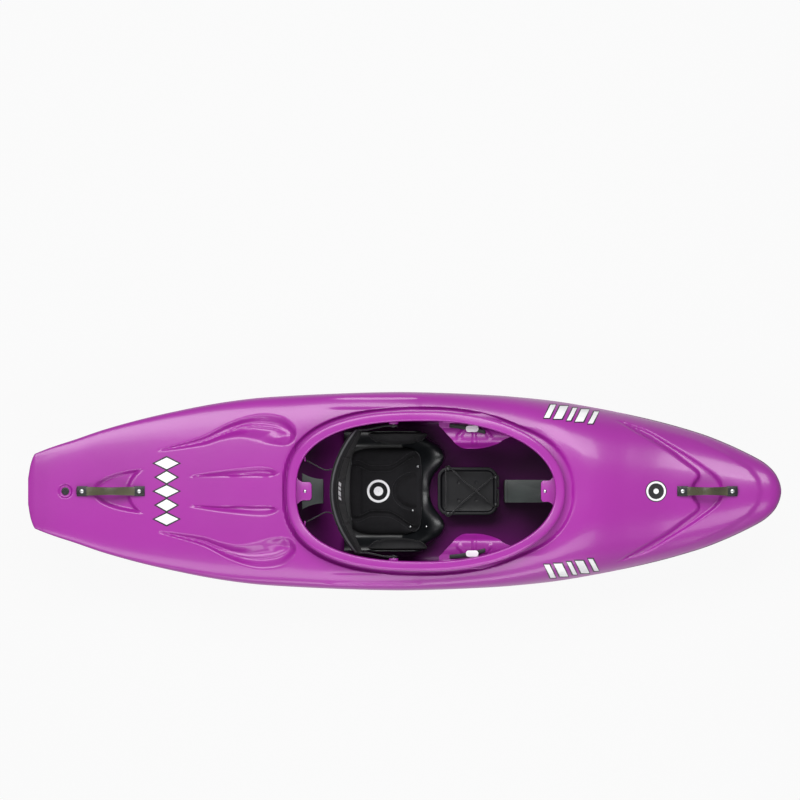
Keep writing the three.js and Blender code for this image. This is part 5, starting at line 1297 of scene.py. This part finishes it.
# %% Foam pillars and caps
for end in ("front", "rear"):
    pillar, cap, bolt = f"{end}_pillar", f"{end}_pillar_cap", f"{end}_pillar_bolt"
    dressed(pillar, rounded_copy(pillar, 0.005, 3), pillar_foam, "hull", "pillar_foam")
    dressed(cap, rounded_copy(cap, 0.0022, 3, 50), cap_plastic, "hull", "black_plastic")
    low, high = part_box(bolt)
    head_place = ((low[0] + high[0]) / 2, 0, high[2] - 0.0042)
    dressed(bolt, domed_screw(0.006, 0.004, 0.003, 0.026, 0.0022, head_place), steel, "hull", "steel")
print("pillars are bolted to their tongues")

# %% [markdown]
# ## Seat
#
# The seat is a thin moulded pan. It dips at the front between two lobes that carry the thighs, and its sides
# rise into hip plates. It stands on two runners that slide on the rails of the floor. The pan could be
# sculpted, but the two lobes would differ. A grid whose height is a formula of the distance from the middle
# line makes them the same, and Solidify gives it the thickness of a moulded sheet.

# %% Seat pan
seat_rear, seat_half, pan_thickness = -0.205, 0.205, 0.0055
# Share of the rows at which the front edge turns down
lip_start = 0.93


def seat_front(a):
    """Where the seat's front edge lies, from the middle at 0 to the side at 1."""
    lobe = np.exp(-((a - 0.58) / 0.27) ** 2)
    corner = smooth_step(0.72, 1, a)
    edge = 0.078 + 0.050 * lobe
    return edge * (1 - corner) + 0.050 * corner


def seat_rise(u, a):
    """Height of the seat, which rises to its lobes and sides and turns down at its front edge."""
    lobe = smooth_step(0.56, 0.9, u) * 0.092 * (0.42 + 0.58 * np.exp(-((a - 0.58) / 0.3) ** 2))
    return 0.042 + np.maximum(lobe, smooth_step(0.74, 1, a) * 0.034) - smooth_step(0.9, 1, u) ** 2 * 0.062


def seat_top(x, y):
    a = np.abs(y) / seat_half
    return seat_rise(np.minimum(lip_start * (x - seat_rear) / (seat_front(a) - seat_rear), 0.9), a) + 0.003


def place_seat(across, along):
    a = np.abs(2 * across - 1)
    x = seat_rear + (seat_front(a) - seat_rear) * np.minimum(1, along / lip_start)
    x = x + smooth_step(0.9, 1, along) * 0.0048
    return np.column_stack([x, (2 * across - 1) * seat_half, seat_rise(along, a) - 0.0027])


hip_plate = rounded_rectangle(0.095, 0.0685, 0.038, 10) + (-0.033, 0.1275)
runner = rounded_rectangle(0.0895, 0.0087, 0.004) + (-0.0895, 0.110)
seat_parts = [round_edges(thickened(mapped(96, 84, place_seat), pan_thickness), 0.0012, 2, 60)]
seat_parts += pair(lambda: plate(hip_plate, 0.200, 0.205, 0.0018, "Y"))
seat_parts += pair(lambda: plate(runner, 0.0363, 0.0425, 0.001))
dressed("seat_pan", joined(seat_parts), black_plastic, "seat", "black_plastic", 50)
print("seat pan, hip plates and runners")

# %% [markdown]
# The pad is soft foam under a stretched cover. Two sewn channels curve out towards the front and a third one
# closes a raised pommel between the thighs, where two rows of stitches hold the cover down. The edge is
# crowned and its sides draw in between the corners, and a piping cord finishes the seam around it. A cloth
# simulation would settle a little differently after every change. So the pad is drawn in the shape that it
# rests in: its upper skin is pressed in along the channels, and both skins meet in the seam.

# %% Seat pad with its channels
pad_rear, pad_front, pad_half = -0.186, 0.062, 0.150
pommel_middle, pommel_half_x, pommel_half_y = 0.034, 0.066, 0.056


def pad_place(u, v):
    """A place of the pad from above. Both shares are -1 to 1."""
    x = pad_rear + (pad_front - pad_rear) * (v + 1) / 2
    half = pad_half * (1 - 0.14 * v ** 4) * (1 - 0.02 * (1 - v ** 2))
    return x - 0.010 * u ** 2 * v, u * half


def seat_channel(x):
    """How far a sewn channel of the pad is from its middle line."""
    return 0.077 + 0.018 * smooth_step(-0.110, -0.160, x) + 0.052 * smooth_step(-0.062, 0.048, x)


def from_pommel(x, y):
    """Distance from the pommel's middle, which is 1 on the channel around it."""
    return np.hypot((x - pommel_middle) / pommel_half_x, y / pommel_half_y)


def pad_groove(x, y):
    side = np.exp(-((np.abs(y) - seat_channel(x)) / 0.0085) ** 2)
    ring = np.exp(-((from_pommel(x, y) - 1) * 0.06 / 0.0065) ** 2) * (x < 0.040)
    cross = np.exp(-((x + 0.150) / 0.005) ** 2) * (np.abs(y) < 0.080)
    return 0.0104 * np.maximum(side, ring) + 0.005 * cross


def pad_height(x, y, u, v):
    bulge = 0.0045 * (1 - u ** 2) * (1 - v ** 2)
    pommel = 0.009 * np.exp(-from_pommel(x, y) ** 4)
    cheeks = 0.006 * smooth_step(0, 0.030, np.abs(y) - seat_channel(x))
    return 0.0125 + bulge + pommel + cheeks


def pad_surface(side, u, v):
    x, y = pad_place(u, v)
    seam = seat_top(x, y) + 0.008
    swell = pad_height(x, y, u, v) - pad_groove(x, y) if side > 0 else -0.0045
    return np.column_stack([x, y, seam + swell * edge_round(u, v)])


def on_pad(x, y, lift=0.0004):
    """Height of the pad's upper side at places away from its edge."""
    half_length = (pad_front - pad_rear) / 2
    v = (x - pad_front + half_length) / half_length
    return seat_top(x, y) + 0.008 + pad_height(x, y, y / pad_half, v) - pad_groove(x, y) + lift


seat_pad = dressed("seat_pad", pillow(110, 96, pad_surface), foam, "seat", "foam", 60)
print("seat pad:", len(seat_pad.data.polygons), "faces")

# %% [markdown]
# The stitches are short threads and the piping is a thin cord. They are modelled and not only painted,
# because they catch the light along the channels, and the same formulas that shape the pad place them on it.

# %% Stitches and piping of the seat pad
turns = np.linspace(math.pi * 0.56, math.pi * 1.44, 60)
line_x, line_y = pommel_middle + 0.0755 * np.cos(turns), 0.0655 * np.sin(turns)
threads = stitches(np.column_stack([line_x, line_y, on_pad(line_x, line_y)]))
line_x = np.linspace(-0.165, 0.035, 60)
for side in (-1, 1):
    for shift in (-0.0105, 0.0105):
        line_y = side * (seat_channel(line_x) + shift)
        threads += stitches(np.column_stack([line_x, line_y, on_pad(line_x, line_y)]))
seam_x, seam_y = pad_place(*evenly_around(rounded_rectangle(1, 1, 0.10, 12) * 0.995, 8).T)
seam = np.column_stack([seam_x, seam_y, seat_top(seam_x, seam_y) + 0.0085])
piping = swept(seam, circle(0.0017, 8), closed=True)
piece("seat_pad_trim", joined(threads + [piping]), sewing, "seat", "foam", "seat_pad")
print(len(threads), "stitches and", round(length_of(seam), 2), "m of piping")

# %% [markdown]
# Small bright studs hold the pad to the pan, and each stands square to the slope under it. On both sides a
# neoprene pad swells from the hip plate towards the hips. Like the seat pad it is two skins with one seam.

# %% Studs and hip pads
studs = {"left": (0.0459, 0.084, 0.1065), "right_inner": (0.028, -0.066, 0.0959),
         "right_front": (0.0739, -0.1211, 0.1149), "right_rear": (0.020, -0.1219, 0.0758)}
for name, at in studs.items():
    behind, ahead = seat_top(at[0] + np.array([-0.004, 0.004]), np.full(2, at[1]))
    stud = domed_screw(0.005, 0.0028, 0.0022, 0.0008, 0.0016, at, Vector((behind - ahead, 0, 0.008)))
    dressed(f"seat_stud_{name}", stud, steel, "seat", "steel")


def hip_pad_surface(side, u, v):
    hip_plate_y, thickness = 0.1995, 0.006
    share_x, share_z = (u + 1) / 2, (v + 1) / 2
    x = -0.122 + 0.200 * share_x
    low = np.maximum(0.092, seat_top(x, np.full_like(x, 0.19)) + 0.006)
    high = 0.2055 - 0.018 * u ** 2
    z = low + (high - low) * share_z
    rim = edge_round(u, v, 0.30)
    swell = np.sin(np.pi * share_x) * np.sin(np.pi * share_z)
    seam = 0.003 * np.exp(-((np.abs(u) - 0.62) / 0.035) ** 2)
    inner = hip_plate_y - thickness - (0.012 + 0.022 * np.sqrt(swell.clip(0))) * rim + seam * rim
    return np.column_stack([x, inner if side > 0 else hip_plate_y - thickness * (1 - rim), z])


for side, name in sides:
    hip_pad_bm = on_side(pillow(60, 40, hip_pad_surface), side)
    dressed(f"hip_pad_{name}", hip_pad_bm, neoprene, "seat", "foam", 60)
print(len(studs), "studs and two hip pads")

# %% [markdown]
# ## Gear tray
#
# The tray in front of the seat holds a bottle or a throw bag under a laced elastic cord. A box with a smaller
# box cut out would have corners that no mould makes. Rounded rings that go up the outer wall, over the raised
# edge and down to the floor draw the tray in one skin.

# %% Tray with its hooks
tray_middle, tray_half_x, tray_half_y = 0.216, 0.102, 0.082


def tray_ring(inset, z):
    outline = rounded_rectangle(tray_half_x - inset, tray_half_y - inset, max(0.036 - inset, 0.006), 10)
    return np.column_stack([outline[:, 0] + tray_middle, outline[:, 1], np.full(len(outline), z)])


tray_profile = [(0.010, 0.0053), (0.006, 0.0060), (0.004, 0.010), (0.0015, 0.094), (0, 0.096), (0, 0.109),
                (0.0007, 0.1113), (0.0025, 0.112), (0.0085, 0.112), (0.0105, 0.1113), (0.0115, 0.109),
                (0.0125, 0.099), (0.0145, 0.0968), (0.018, 0.096), (0.040, 0.0955)]
drain_profile = [(0, 0.0002), (0.0045, 0.0002), (0.006, 0.0009), (0.0066, 0.0002), (0.0066, -0.002),
                 (0, -0.002)]
tray_parts = [loft([tray_ring(inset, z) for inset, z in tray_profile])]
tray_parts += [turned(drain_profile, (x, y, 0.0958)) for x in (0.186, 0.246) for y in (-0.03, 0.03)]
dressed("gear_tray", joined(tray_parts), tray_plastic, "seat", "black_plastic", 50)

hook_profile = [(0, 0), (0.0046, 0), (0.0046, 0.0008), (0.0033, 0.0022), (0.0031, 0.0076), (0.0042, 0.009),
                (0.0055, 0.0096), (0.0053, 0.0112), (0.0038, 0.0119), (0, 0.0120)]
for end, x, y in (("rear", 0.150, 0.0765), ("front", 0.3125, 0.046)):
    for side, name in sides:
        hook = turned(hook_profile, (x, y * side, 0.1123), steps=20)
        dressed(f"tray_hook_{end}_{name}", hook, black_plastic, "seat", "black_plastic")
print("gear tray with its four hooks")

# %% [markdown]
# The elastic runs around the hooks on the raised edge and crosses itself in the middle, where one run hops
# over the other. A curve object with a round bevel would do, but a swept circle also carries the map along
# which its braid runs.

# %% Elastic over the tray
# Millimetres along, across and above the raised edge, round all four hooks
cord_route = [(320.5, 14, 0), (320.5, 44, 0), (316, 53, 0), (307, 52, 0), (280, 29, 0), (250.6, 5, 0),
              (200, -38, 0), (158, -80, 0), (150, -84.5, 0), (142, -76.5, 0), (142, -30, 0), (142, 30, 0),
              (142, 76.5, 0), (150, 84.5, 0), (158, 80, 0), (200, 38, 1.5), (232, 12, 5.6), (250.6, -5, 5.6),
              (276, -26, 1.5), (307, -52, 0), (316, -53, 0), (320.5, -44, 0), (320.5, 6, 0)]
elastic_radius, elastic_height = 0.0025, 0.1165
cord_line = open_curve([(x / 1000, y / 1000, elastic_height + hop / 1000) for x, y, hop in cord_route])
cord_length = length_of(cord_line)
cord_bm = swept(cord_line, circle(elastic_radius, 12), weave=(1, cord_length))
dressed("tray_cord", cord_bm, braid, "seat", "cord")
print(f"tray elastic, {cord_length:.2f} m")

# %% [markdown]
# ## Back band
#
# The band is a padded strip that curves around the lower back. It is thick in the middle, has sewn seams near
# both edges and hangs on two straps from pins on the shell. Two thin cords draw it back to the rear pillar.
# One formula gives every place of the band, in front and behind, so it also places the binding around the
# edge and the print on the front.

# %% Padded band
band_half, band_bow, band_middle_x, band_middle_z = 0.206, 0.072, -0.226, 0.252
band_height, band_taper, band_lean, band_half_thickness = 0.156, 0.072, 0.017, 0.013


def band_at(across, up, out):
    """A place of the band. across and up are -1 to 1, out is -1 on its back and 1 on its front."""
    height = band_height - band_taper * across ** 2
    x = band_middle_x + band_bow * across ** 2 - band_lean * up * (1 - across ** 2 / 2)
    rim = np.sqrt(1 - across.clip(-1, 1) ** 8) * np.sqrt(1 - up.clip(-1, 1) ** 6)
    half = band_half_thickness * (0.18 + 0.82 * rim)
    seams = np.exp(-((np.abs(up) - 0.70) / 0.045) ** 2) + np.exp(-((np.abs(across) - 0.56) / 0.014) ** 2)
    seams += 0.8 * np.exp(-((np.abs(across) - 0.20) / 0.014) ** 2) * (np.abs(up) < 0.70)
    half = half - 0.0028 * np.minimum(seams, 1) * rim
    slope = np.arctan(2 * band_bow * across / band_half)
    y = across * band_half
    return np.column_stack([x + out * half * np.cos(slope), y - out * half * np.sin(slope),
                            band_middle_z + up * height / 2])


def band_surface(side, u, v):
    edge = (np.abs(u) > 0.99999) | (np.abs(v) > 0.99999)
    return band_at(u, v, np.where(edge, 0.0, side))


back_band = dressed("back_band", pillow(150, 48, band_surface), neoprene, "back_band", "foam", 60)
band_edge = evenly_around(rounded_rectangle(1, 1, 0.06, 6), 14)
binding_line = band_at(band_edge[:, 0] * 0.998, band_edge[:, 1] * 0.995, 0)
binding = swept(binding_line, rounded_rectangle(0.0032, 0.0032, 0.002, 3), up=(1, 0, 0.02), closed=True)
piece("back_band_binding", binding, sewing, "back_band", "foam", "back_band")
print("back band with", round(length_of(binding_line), 2), "m of binding")

# %% [markdown]
# The straps are flat webbing with two sewn ends, and they turn with the band about the pins. The thin cords
# run from the shell at one end to the band at the other; they ride on no body and stay where they are drawn.

# %% Straps, pins and cords of the back band
strap_points = [(-0.167, 0.2078, 0.252), (-0.150, 0.2078, 0.252), (-0.128, 0.2078, 0.252),
                (-0.095, 0.2145, 0.249), (-0.061, 0.221, 0.246), (-0.040, 0.221, 0.246),
                (-0.0235, 0.221, 0.246)]
band_cord_points = [(-0.331, 0.104, 0.256), (-0.322, 0.100, 0.256), (-0.300, 0.088, 0.255),
                    (-0.280, 0.077, 0.256), (-0.262, 0.071, 0.258), (-0.246, 0.074, 0.260),
                    (-0.2324, 0.079, 0.262)]
for side, name in sides:
    path = open_curve(strap_points) * (1, side, 1)
    strap = swept(path, rounded_rectangle(0.0026, 0.0125, 0.0012, 3), weave=(1, length_of(path)))
    threads = []
    for height in (-0.0085, 0.0085):
        for first, last in ((0, 10), (26, 34)):
            line = path[first:last] + (0, -0.0027 * side, height)
            threads += stitches(line, 0.003, 0.002, 0.0004)
    strap = joined([strap, *(in_finish(thread, 1) for thread in threads)])
    dressed(f"back_strap_{name}", strap, [webbing, sewing], "back_band", "webbing")
    pin = domed_screw(0.008, 0.0034, 0.004, 0.0150, 0.0028, (-0.036, 0.2194 * side, 0.246), (0, -side, 0))
    dressed(f"strap_pin_{name}", pin, steel, "hull", "steel")
    route = open_curve(band_cord_points) * (1, side, 1)
    cord_bm = swept(route, circle(0.002, 10), weave=(1, length_of(route)))
    cord = dressed(f"band_cord_{name}", cord_bm, braid, None, "cord")
    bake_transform(cord)
print(f"straps of {length_of(path):.3f} m and cords of {length_of(route):.3f} m hold the band")

# %% [markdown]
# ## Thigh braces
#
# Each brace is a curved lobe that hooks over a thigh. It is moulded in the shell's colour, with shallow ribs
# across it, and a slotted black strip clamps it so that it can slide fore and aft. Foam lines its underside.
# A curve gives the lobe's reach from rear to front, and a grid between it and the straight root is lifted by
# formulas for the hook and the ribs. That is easier to match to both sides than a subdivided cage.

# %% Brace sheets
brace_root, slot_x, slot_y, bolt_y = 0.250, 0.236, 0.245, 0.172
brace_reach = curve_through([[0, 0.02], [0.11, 0.42], [0.25, 0.83], [0.38, 1], [0.6, 0.95], [0.79, 0.77],
                             [0.9, 0.6], [1, 0.48]])


def brace_place(across, along):
    """A place of a brace from above, by its shares from the root inwards and from rear to front."""
    inner = 0.222 - 0.076 * brace_reach(along)[:, 0]
    return brace_rear + (brace_front - brace_rear) * along, brace_root + (inner - brace_root) * across


def brace_top(x, y):
    out = np.clip((0.212 - y) / 0.066, 0, 1)
    return (brace_low + (x - brace_rear) * brace_slope - 0.0003 + np.sin(np.pi * out) * 0.008
            - smooth_step(0.62, 1, out) * 0.026)


def brace_ribs(x, y):
    """Low ribs that fan out from the strip's slot towards the lobe's edge."""
    turn = np.arctan2(x - slot_x, slot_y - y)
    away = np.hypot(x - slot_x, slot_y - y)
    wave = np.maximum(np.cos(turn * 9), 0) ** 3
    return 0.0042 * wave * smooth_step(0.030, 0.042, away) * (1 - smooth_step(0.080, 0.092, away))


def brace():
    def place(across, along):
        x, y = brace_place(across, along)
        return np.column_stack([x, y, brace_top(x, y) + brace_ribs(x, y) - 0.0056])
    return round_edges(thickened(mapped(44, 110, place), 0.0055), 0.0018, 3, 60)


def brace_pad_surface(side, u, v):
    x, y = brace_place(0.12 + 0.74 * (u + 1) / 2, 0.1 + 0.8 * (v + 1) / 2)
    rim = edge_round(u, v, 0.25)
    seam = brace_top(x, y) - 0.0145
    return np.column_stack([x, y, seam + (0.004 if side > 0 else -0.006) * rim])


for side, name in sides:
    body, strip = f"brace_{name}", f"brace_strip_{name}"
    dressed(f"thigh_brace_{name}", on_side(brace(), side), purple, body, "hull", 45)
    pad_bm = on_side(pillow(40, 60, brace_pad_surface), side)
    dressed(f"brace_pad_{name}", pad_bm, foam, body, "foam", 60)
    dressed(strip, rounded_copy(strip, 0.0014, 3), black_plastic, body, "black_plastic")
    bolt_z = brace_top(np.array([slot_x]), np.array([bolt_y]))[0] + 0.0006
    bolt = domed_screw(0.0048, 0.0034, 0.0026, 0.0040, 0.0016, (slot_x, bolt_y * side, bolt_z))
    dressed(f"brace_bolt_{name}", bolt, steel, body, "steel")
print("braces with their strips, pads and bolts")

# %% [markdown]
# ## Foot rest and rails
#
# Inside the bow the feet press on a plate that slides on two aluminium rails, and its foam softens a landing.
# Two more rails on the floor guide the seat. All of this lies out of sight, so rounded copies of the solids
# are enough.

# %% Foot plate, foam and rails
dressed("foot_plate", rounded_copy("foot_plate", 0.004, 3), black_plastic, "foot_rest", "black_plastic")
foot_foam = dressed("foot_foam", rounded_copy("foot_foam", 0.005, 4, 35), foam, "foot_rest", "foam")
for _, name in sides:
    rail, seat_rail = f"foot_rail_{name}", f"seat_rail_{name}"
    dressed(rail, rounded_copy(rail, 0.0009), aluminium, "hull", "aluminium")
    dressed(seat_rail, rounded_copy(seat_rail, 0.0015), black_plastic, "hull", "black_plastic")
print("foot rest on its rails")

# %% [markdown]
# ## Plain stickers
#
# The shell carries flat vinyl: slanted bars on both shoulders, a row of lozenges on the stern and a ring on
# the bow. They are plain shapes without words. Painted into the shell's finish they would share its gloss and
# its orange peel, so they are thin sheets of their own that are laid on the curved deck. Most have a black
# backing that shows as a thin edge around the white.

# %% Sheets laid on the deck
vinyl, backing_lift, white_lift = 0.0002, 0.0003, 0.0007


def on_deck(x, y, lift):
    """Places on the pressed deck, lifted along its slope."""
    x, y = np.asarray(x, dtype=float), np.asarray(y, dtype=float)
    step = 0.002
    slope_x = (deck_height(x + step, y) - deck_height(x - step, y)) / (2 * step)
    slope_y = (deck_height(x, y + step) - deck_height(x, y - step)) / (2 * step)
    normal = np.column_stack([-slope_x, -slope_y, np.ones_like(x)])
    normal /= np.linalg.norm(normal, axis=1)[:, None]
    return np.column_stack([x, y, deck_height(x, y) - pressed(x, y)]) + normal * lift


def sticker(corners, lift, columns=10, rows=24):
    """A four-sided piece of vinyl. Its corners run around it, seen from above."""
    a, b, c, d = (np.array(corner) for corner in corners)

    def place(across, along):
        across, along = across[:, None], along[:, None]
        spot = (a * (1 - across) + b * across) * (1 - along) + (d * (1 - across) + c * across) * along
        return on_deck(spot[:, 0], spot[:, 1], lift)
    return thickened(mapped(columns, rows, place), vinyl)


# %% Bars, lozenges and rings
def slanted_bars(side):
    """Bars of unequal width that lean over the shoulder."""
    lean, border = 0.024, 0.0035
    parts = []
    for start, width in ((0.468, 0.018), (0.500, 0.028), (0.544, 0.014), (0.572, 0.028), (0.616, 0.016)):
        half = station_at(start + 0.02)["half"]
        low, high = half * 0.80, half * 0.945
        bar = [(start, low), (start + width, low), (start + width + lean, high), (start + lean, high)]
        edge = [(x + dx * border, y + dy * border) for (x, y), (dx, dy)
                in zip(bar, ((-1, -1), (1, -1), (1, 1), (-1, 1)))]
        for corners, lift, finish in ((edge, backing_lift, 1), (bar, white_lift, 0)):
            corners = [(x, y * side) for x, y in corners]
            parts.append(in_finish(sticker(corners, lift), finish))
    return joined(parts)


def lozenge(y, narrower, grow, lift):
    """A lozenge across the stern, whose corners point along and across the boat."""
    middle, half_x, half_y = -0.801, 0.040 - narrower + grow * 1.6, 0.0195 + grow
    return sticker([(middle - half_x, y), (middle, y - half_y), (middle + half_x, y), (middle, y + half_y)],
                   lift, 8, 8)


def flat_ring(laid, middle, inner, outer, lift):
    """A ring that is laid on the deck or on the seat pad. middle is its x."""
    def place(across, along):
        radius = inner + (outer - inner) * across
        angle = along * math.tau
        return laid(middle + radius * np.cos(angle), radius * np.sin(angle), lift)
    bm = mapped(3, 60, place)
    bmesh.ops.remove_doubles(bm, verts=bm.verts, dist=0.00001)
    return thickened(bm, vinyl)


# %% Stickers on the deck
for side, name in sides:
    piece(f"shoulder_bars_{name}", slanted_bars(side), [sticker_white, sticker_black], "hull", "hull")
lozenges = []
for i in range(5):
    for grow, lift, finish in ((0.0055, backing_lift, 1), (0, white_lift, 0)):
        lozenges.append(in_finish(lozenge(0.094 - i * 0.047, 0.006 * (i % 2), grow, lift), finish))
piece("stern_lozenges", joined(lozenges), [sticker_white, sticker_black], "hull", "hull")
bow_ring_x = 0.844
bow_rings = [in_finish(flat_ring(on_deck, bow_ring_x, 0.0005, 0.036, backing_lift), 1),
             flat_ring(on_deck, bow_ring_x, 0.0265, 0.033, white_lift),
             flat_ring(on_deck, bow_ring_x, 0.0005, 0.009, white_lift)]
piece("bow_ring", joined(bow_rings), [sticker_white, sticker_black], "hull", "hull")
print("stickers laid on the deck")

# %% [markdown]
# The seat pad has a white ring printed on it, the back band a row of short white bars, and each brace strip
# a white pill. They are thin skins a hair above the cover, so that they follow the padding under them.

# %% Prints on the seat, the back band and the brace strips
def laid_on_pad(x, y, lift):
    return np.column_stack([x, y, on_pad(x, y, lift)])


seat_rings = [flat_ring(laid_on_pad, -0.088, inner, outer, 0.0006)
              for inner, outer in ((0.031, 0.039), (0.0005, 0.016))]
piece("seat_print", joined(seat_rings), sticker_white, "seat", "foam")


def band_bar(start, width):
    """A slanted bar on the front of the back band."""
    def place(across, along):
        return band_at(start + width * across + 0.03 * along, 0.12 + 0.44 * along, 1.07)
    return thickened(mapped(6, 10, place), vinyl, "x")


bars = [band_bar(*bar) for bar in ((-0.165, 0.05), (-0.095, 0.08), (0.005, 0.05), (0.075, 0.06))]
piece("band_print", joined(bars), sticker_white, "back_band", "foam")


def strip_pill(side):
    """A white pill on the dark strip of a thigh brace, which slopes with it."""
    middle = 0.228
    outline = rounded_rectangle(0.021, 0.0105, 0.0095, 8) * (1, side) + (middle, 0.2095 * side)
    bm = plate(outline, 0.3264, 0.3270, 0.0002)
    for vert in bm.verts:
        vert.co.z += (vert.co.x - middle) * brace_slope
    return bm


for side, name in sides:
    piece(f"strip_pill_{name}", strip_pill(side), sticker_white, f"brace_{name}", "black_plastic")
print("prints on the seat, the band and the strips")

# %% [markdown]
# ## Floor, world and lamps
#
# The boat rests on a pale floor in soft light. Seen by the camera the floor and the world are near white,
# but they light the boat only as a pale floor would, so the colours stay as written. In the boat's gloss they
# are half-way between the two.

# %% Floor and world
def seen_share(nodes, in_gloss):
    """1 for the camera's own rays, a share of it for rays off a glossy surface, and 0 for all others."""
    rays = nodes.node("ShaderNodeLightPath")
    glossy = nodes.node("ShaderNodeLightPath", output="Is Glossy Ray")
    return (rays + glossy * in_gloss).maths("MINIMUM", 1)


floor_bm = bmesh.new()
bmesh.ops.create_grid(floor_bm, x_segments=1, y_segments=1, size=30)
floor_mesh = bpy.data.meshes.new("floor")
floor_bm.to_mesh(floor_mesh)
floor_bm.free()
floor_finish = Finish("floor paint", (0.34, 0.34, 0.345), 0.9)
seen = seen_share(floor_finish, 0.45) * 0.93
glow = floor_finish.node("ShaderNodeEmission", None, {"Color": (1, 1, 1, 1), "Strength": 1.0})
paint = Wire(floor_finish, floor_finish.shader.outputs[0])
shown = floor_finish.node("ShaderNodeMixShader", None, {0: seen, 1: paint, 2: glow})
floor_finish.feed(floor_finish.tree.nodes["Material Output"].inputs["Surface"], shown)
floor_mesh.materials.append(floor_finish.material)
floor = bpy.data.objects.new("floor", floor_mesh)
bpy.context.scene.collection.objects.link(floor)

world = bpy.data.worlds.new("studio")
world.use_nodes = True
bpy.context.scene.world = world
world_nodes = Nodes(world.node_tree)
backdrop = world.node_tree.nodes["Background"].inputs
lit, white = 0.24, 1.0
world_nodes.feed(backdrop["Color"], (1, 1, 1, 1))
world_nodes.feed(backdrop["Strength"], seen_share(world_nodes, 0.34) * (white - lit) + lit)
print("floor and world: light of", lit)

# %% [markdown]
# Large area lamps act as a studio's softboxes. Small ones would show as hard spots in the gloss. One hangs
# over each side of the boat, a narrow one draws the rim's highlight, and a low one lights the near flank.

# %% Lamps
def add_lamp(name, place, size, power):
    """A soft rectangular lamp that looks at the boat's middle."""
    data = bpy.data.lights.new(name, "AREA")
    data.shape = "RECTANGLE"
    data.size, data.size_y = size
    data.energy = power
    lamp = bpy.data.objects.new(name, data)
    lamp.location = place
    lamp.rotation_euler = (Vector((0, 0, 0.2)) - Vector(place)).to_track_quat("-Z", "Y").to_euler()
    bpy.context.scene.collection.objects.link(lamp)
    print(name, power, "W")


add_lamp("softbox over the far side", (-0.15, 1.9, 3.5), (4.5, 1.8), 145)
add_lamp("strip over the rim", (-0.2, 0.9, 3.4), (3.4, 0.25), 10)
add_lamp("softbox over the near side", (-0.1, -2.2, 3.0), (4.0, 1.6), 62)
add_lamp("softbox beside the hull", (0.2, -3.6, 1.0), (3.0, 1.0), 34)
bpy.context.scene.view_settings.view_transform = "Standard"
